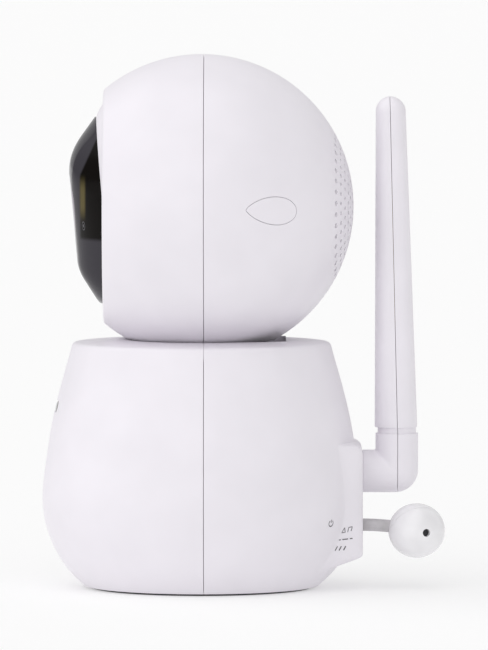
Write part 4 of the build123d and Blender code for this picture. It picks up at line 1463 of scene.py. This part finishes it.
# --------------------------------------------------------------------------
# Probe and buttons
# --------------------------------------------------------------------------
@dataclass
class Probe:
    """Temperature probe: a glossy bulb in two halves on a short rubber stem."""

    centre: np.ndarray
    root: np.ndarray
    radii: tuple[float, float, float] = (6.45, 6.72, 6.45)
    stem_r: float = 1.475

    def bulb(self) -> bpy.types.Object:
        """Ellipsoid from latitude and longitude rings; build cuts the sensing hole in its side."""
        lat = np.linspace(-math.pi / 2, math.pi / 2, 72)
        lon = np.linspace(0.0, TAU, 112, endpoint=False)
        ring = np.cos(lat)[:, None]
        grid = np.stack([self.radii[0] * ring * np.cos(lon), self.radii[1] * ring * np.sin(lon),
                         np.broadcast_to(self.radii[2] * np.sin(lat)[:, None], (72, 112))], axis=-1)
        solid = Solid()
        solid.add(grid + self.centre, sheet_faces(72, 112, True).tolist())
        return solid.piece("bulb")

    def hole(self, radius: float, start: float, end: float) -> bpy.types.Object:
        """Rod along the hole's axis, 20 degrees from +X towards +Y."""
        turn = math.radians(20.0)
        ahead = np.array([math.cos(turn), math.sin(turn), 0.0])
        across = np.array([-math.sin(turn), math.cos(turn), 0.0])
        angle = np.linspace(0.0, TAU, 36, endpoint=False)
        ring = radius * (np.cos(angle)[:, None] * across + np.sin(angle)[:, None] * np.array([0, 0, 1.0]))
        origin = self.centre + np.array([0.0, 0.0, -0.1])
        solid = Solid()
        solid.tube(np.stack([ring + origin + ahead * d for d in (start, end)]))
        return solid.piece("cutter")

    def stem(self) -> bpy.types.Object:
        """Round section carried from the grommet to the bulb along a slight droop."""
        start = self.root + np.array([0.0, -3.0, 0.0])
        end = self.centre + np.array([0.0, -5.2, 0.95])
        path = bezier(start, self.root + np.array([0.0, 0.6, 0.3]), end, 24)
        angle = np.linspace(0.0, TAU, 40, endpoint=False)
        run = np.gradient(path, axis=0)
        run /= np.linalg.norm(run, axis=1)[:, None]
        side = np.array([1.0, 0.0, 0.0])
        up = np.cross(side, run)
        grid = (path[:, None] + self.stem_r * (np.cos(angle)[None, :, None] * side
                + np.sin(angle)[None, :, None] * up[:, None]))
        solid = Solid()
        solid.tube(grid)
        return solid.piece("stem", 60.0)

    def build(self) -> None:
        """Makes the bulb's halves, the stem and the grommet."""
        bulb = self.bulb()
        carve(bulb, self.hole(0.92, 3.6, 9.0), 40.0)
        normal = np.array([-0.82, -0.29, 0.49])
        normal /= np.linalg.norm(normal)
        lower, upper = halves(bulb, self.centre, normal, 0.07, ("bulb_lower", "bulb_upper"))
        mount(lower, "base", Finish.PROBE_GLOSS, "probe_gloss", "probe_shell_lower")
        mount(upper, "base", Finish.PROBE_GLOSS, "probe_gloss", "probe_shell_upper")
        # A black plug fills the bottom of the sensing hole and makes it read dark.
        hole_plug = self.hole(0.86, 3.65, 5.4)
        hole_plug.name = "dark_hole_plug"
        mount(hole_plug, "base", Finish.FOOT_RUBBER, "chip_black")
        mount(self.stem(), "base", Finish.GREY_RUBBER, "grey_rubber", "probe_stem")
        y = node_box("probe_grommet")[1][1] - 0.38
        ring = [(1.5, y - 3.3), (1.5, y - 0.1), (1.62, y), (2.7, y), (3.05, y - 0.12), (3.25, y - 0.4),
                (3.25, y - 2.4), (4.1, y - 2.4), (4.1, y - 3.3), (1.5, y - 3.3)]
        mount(turned("grommet", ring, (self.root[0], 0.0, self.root[2]), 1), "base",
              Finish.GREY_RUBBER, "grey_rubber", "probe_grommet")


@dataclass
class PushButton:
    """Small round push button with a dished top and a flange behind the casing."""

    node: str

    def build(self) -> None:
        """Makes the button about its own axis."""
        low, high = node_box(self.node)
        mid = (low + high) / 2
        top, r = high[1] - 0.45, 1.88
        dish = [(0.0, top - 0.16), (0.6, top - 0.14), (1.1, top - 0.06), (1.4, top), (1.62, top - 0.03),
                (1.8, top - 0.16), (r, top - 0.4)]
        flange = [(r, low[1] + 0.66), (2.55, low[1] + 0.66), (2.55, low[1]), (0.0, low[1])]
        piece = turned(self.node + "_cap", dish + flange, (mid[0], 0.0, mid[2]), 1, 64)
        mount(piece, self.node, Finish.BUTTON_WHITE, "button_white", self.node)


# --------------------------------------------------------------------------
# Studio
# --------------------------------------------------------------------------
@dataclass
class Studio:
    """Pale seamless floor, an even sky and a broad soft light."""

    floor_half: float = 30.0
    sky: float = 0.69
    front_sky: float = 0.44

    def floor(self) -> None:
        """Flat pale floor as a coarse grid of quads."""
        line = np.linspace(-self.floor_half, self.floor_half, 9)
        x, y = np.meshgrid(line, line, indexing="ij")
        mesh = bpy.data.meshes.new("floor")
        points = np.stack([x, y, np.zeros_like(x)], axis=-1).reshape(-1, 3)
        mesh.from_pydata(points.tolist(), [], sheet_faces(9, 9, False)[:, ::-1].tolist())
        obj = bpy.data.objects.new("floor", mesh)
        bpy.context.scene.collection.objects.link(obj)
        s = Shader("floor", (0.6, 0.6, 0.6), Roughness=0.9, Emission_Strength=0.36)
        s.base.inputs["Emission Color"].default_value = (1.0, 1.0, 1.0, 1.0)
        obj.data.materials.append(s.material)

    def world(self) -> None:
        """Sky that is bright behind and above the camera's subject, and darker in front of its lens."""
        world = bpy.data.worlds.new("sky")
        world.use_nodes = True
        tree = world.node_tree
        back = tree.nodes["Background"]
        back.inputs["Strength"].default_value = 1.0
        place = tree.nodes.new("ShaderNodeTexCoord").outputs["Generated"]
        split = tree.nodes.new("ShaderNodeSeparateXYZ")
        tree.links.new(place, split.inputs["Vector"])
        ramp = tree.nodes.new("ShaderNodeValToRGB")
        low, high = ramp.color_ramp.elements
        low.position, high.position = 0.0, 0.9
        low.color = (*[self.sky] * 3, 1.0)
        high.color = (*[self.front_sky] * 3, 1.0)
        flip = tree.nodes.new("ShaderNodeMath")
        flip.operation = "MULTIPLY"
        flip.inputs[1].default_value = -1.0
        tree.links.new(split.outputs["Y"], flip.inputs[0])
        tree.links.new(flip.outputs["Value"], ramp.inputs["Fac"])
        tree.links.new(ramp.outputs["Color"], back.inputs["Color"])
        bpy.context.scene.world = world

    def lamp(self, name: str, strength: float, spread: float, pitch: float, turn: float) -> None:
        """One broad sun.

        Args:
            name: Its name.
            strength: Irradiance.
            spread: Angular size in degrees.
            pitch: Degrees from straight down.
            turn: Degrees round Z.
        """
        data = bpy.data.lights.new(name, "SUN")
        data.energy = strength
        data.angle = math.radians(spread)
        obj = bpy.data.objects.new(name, data)
        obj.rotation_euler = (math.radians(pitch), 0.0, math.radians(turn))
        bpy.context.scene.collection.objects.link(obj)

    def camera(self) -> None:
        """Long lens at the object's left side, a little above it."""
        data = bpy.data.cameras.new("camera")
        data.lens = 468.1
        data.sensor_width = 36.0
        data.clip_end = 100.0
        obj = bpy.data.objects.new("camera", data)
        obj.location = (2.000, 0.01006, 0.1656)
        obj.rotation_euler = (math.radians(90.0) - 0.05164, 0.0, math.radians(90.0))
        bpy.context.scene.collection.objects.link(obj)
        bpy.context.scene.camera = obj

    def build(self) -> None:
        """Makes the floor, sky, lamp and camera."""
        self.floor()
        self.world()
        self.lamp("key", 1.65, 120.0, 50.0, 30.0)
        self.camera()
        bpy.context.scene.view_settings.view_transform = "Standard"


def main() -> None:
    """Builds every sub-assembly in order."""
    logging.basicConfig(level=logging.INFO, format="%(name)s: %(message)s")
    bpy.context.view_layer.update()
    WARDROBE.dress_frame()
    low, high = node_box("head_rear_shell")
    radius = round((high[0] - low[0]) / 2, 1)
    axle_r = 2.5
    centre_z = node_box("tilt_axles")[0][2] + axle_r
    face = Face(centre_z=centre_z)
    BaseCasing(top_z=node_box("base_front_shell")[1][2]).build()
    HeadCasing(face=face, radius=radius, centre_z=centre_z).build()
    face.build()
    upright_y = node_box("antenna_elbow")[1][1] - Antenna.radius
    Antenna(axis_z=sum(node_box("antenna_clip"))[2] / 2, upright_y=upright_y, start_y=38.16,
            top_z=node_box("antenna_blade_front")[1][2]).build()
    lows, highs = zip(*(node_box(name) for name in ("probe_shell_upper", "probe_shell_lower")))
    low, high = node_box("probe_grommet")
    root = np.array([(low[0] + high[0]) / 2, high[1], (low[2] + high[2]) / 2])
    Probe(centre=(np.minimum(*lows) + np.maximum(*highs)) / 2, root=root).build()
    for node in ("power_button", "pair_button"):
        PushButton(node).build()
    Studio().build()


if __name__ == "__main__":
    main()
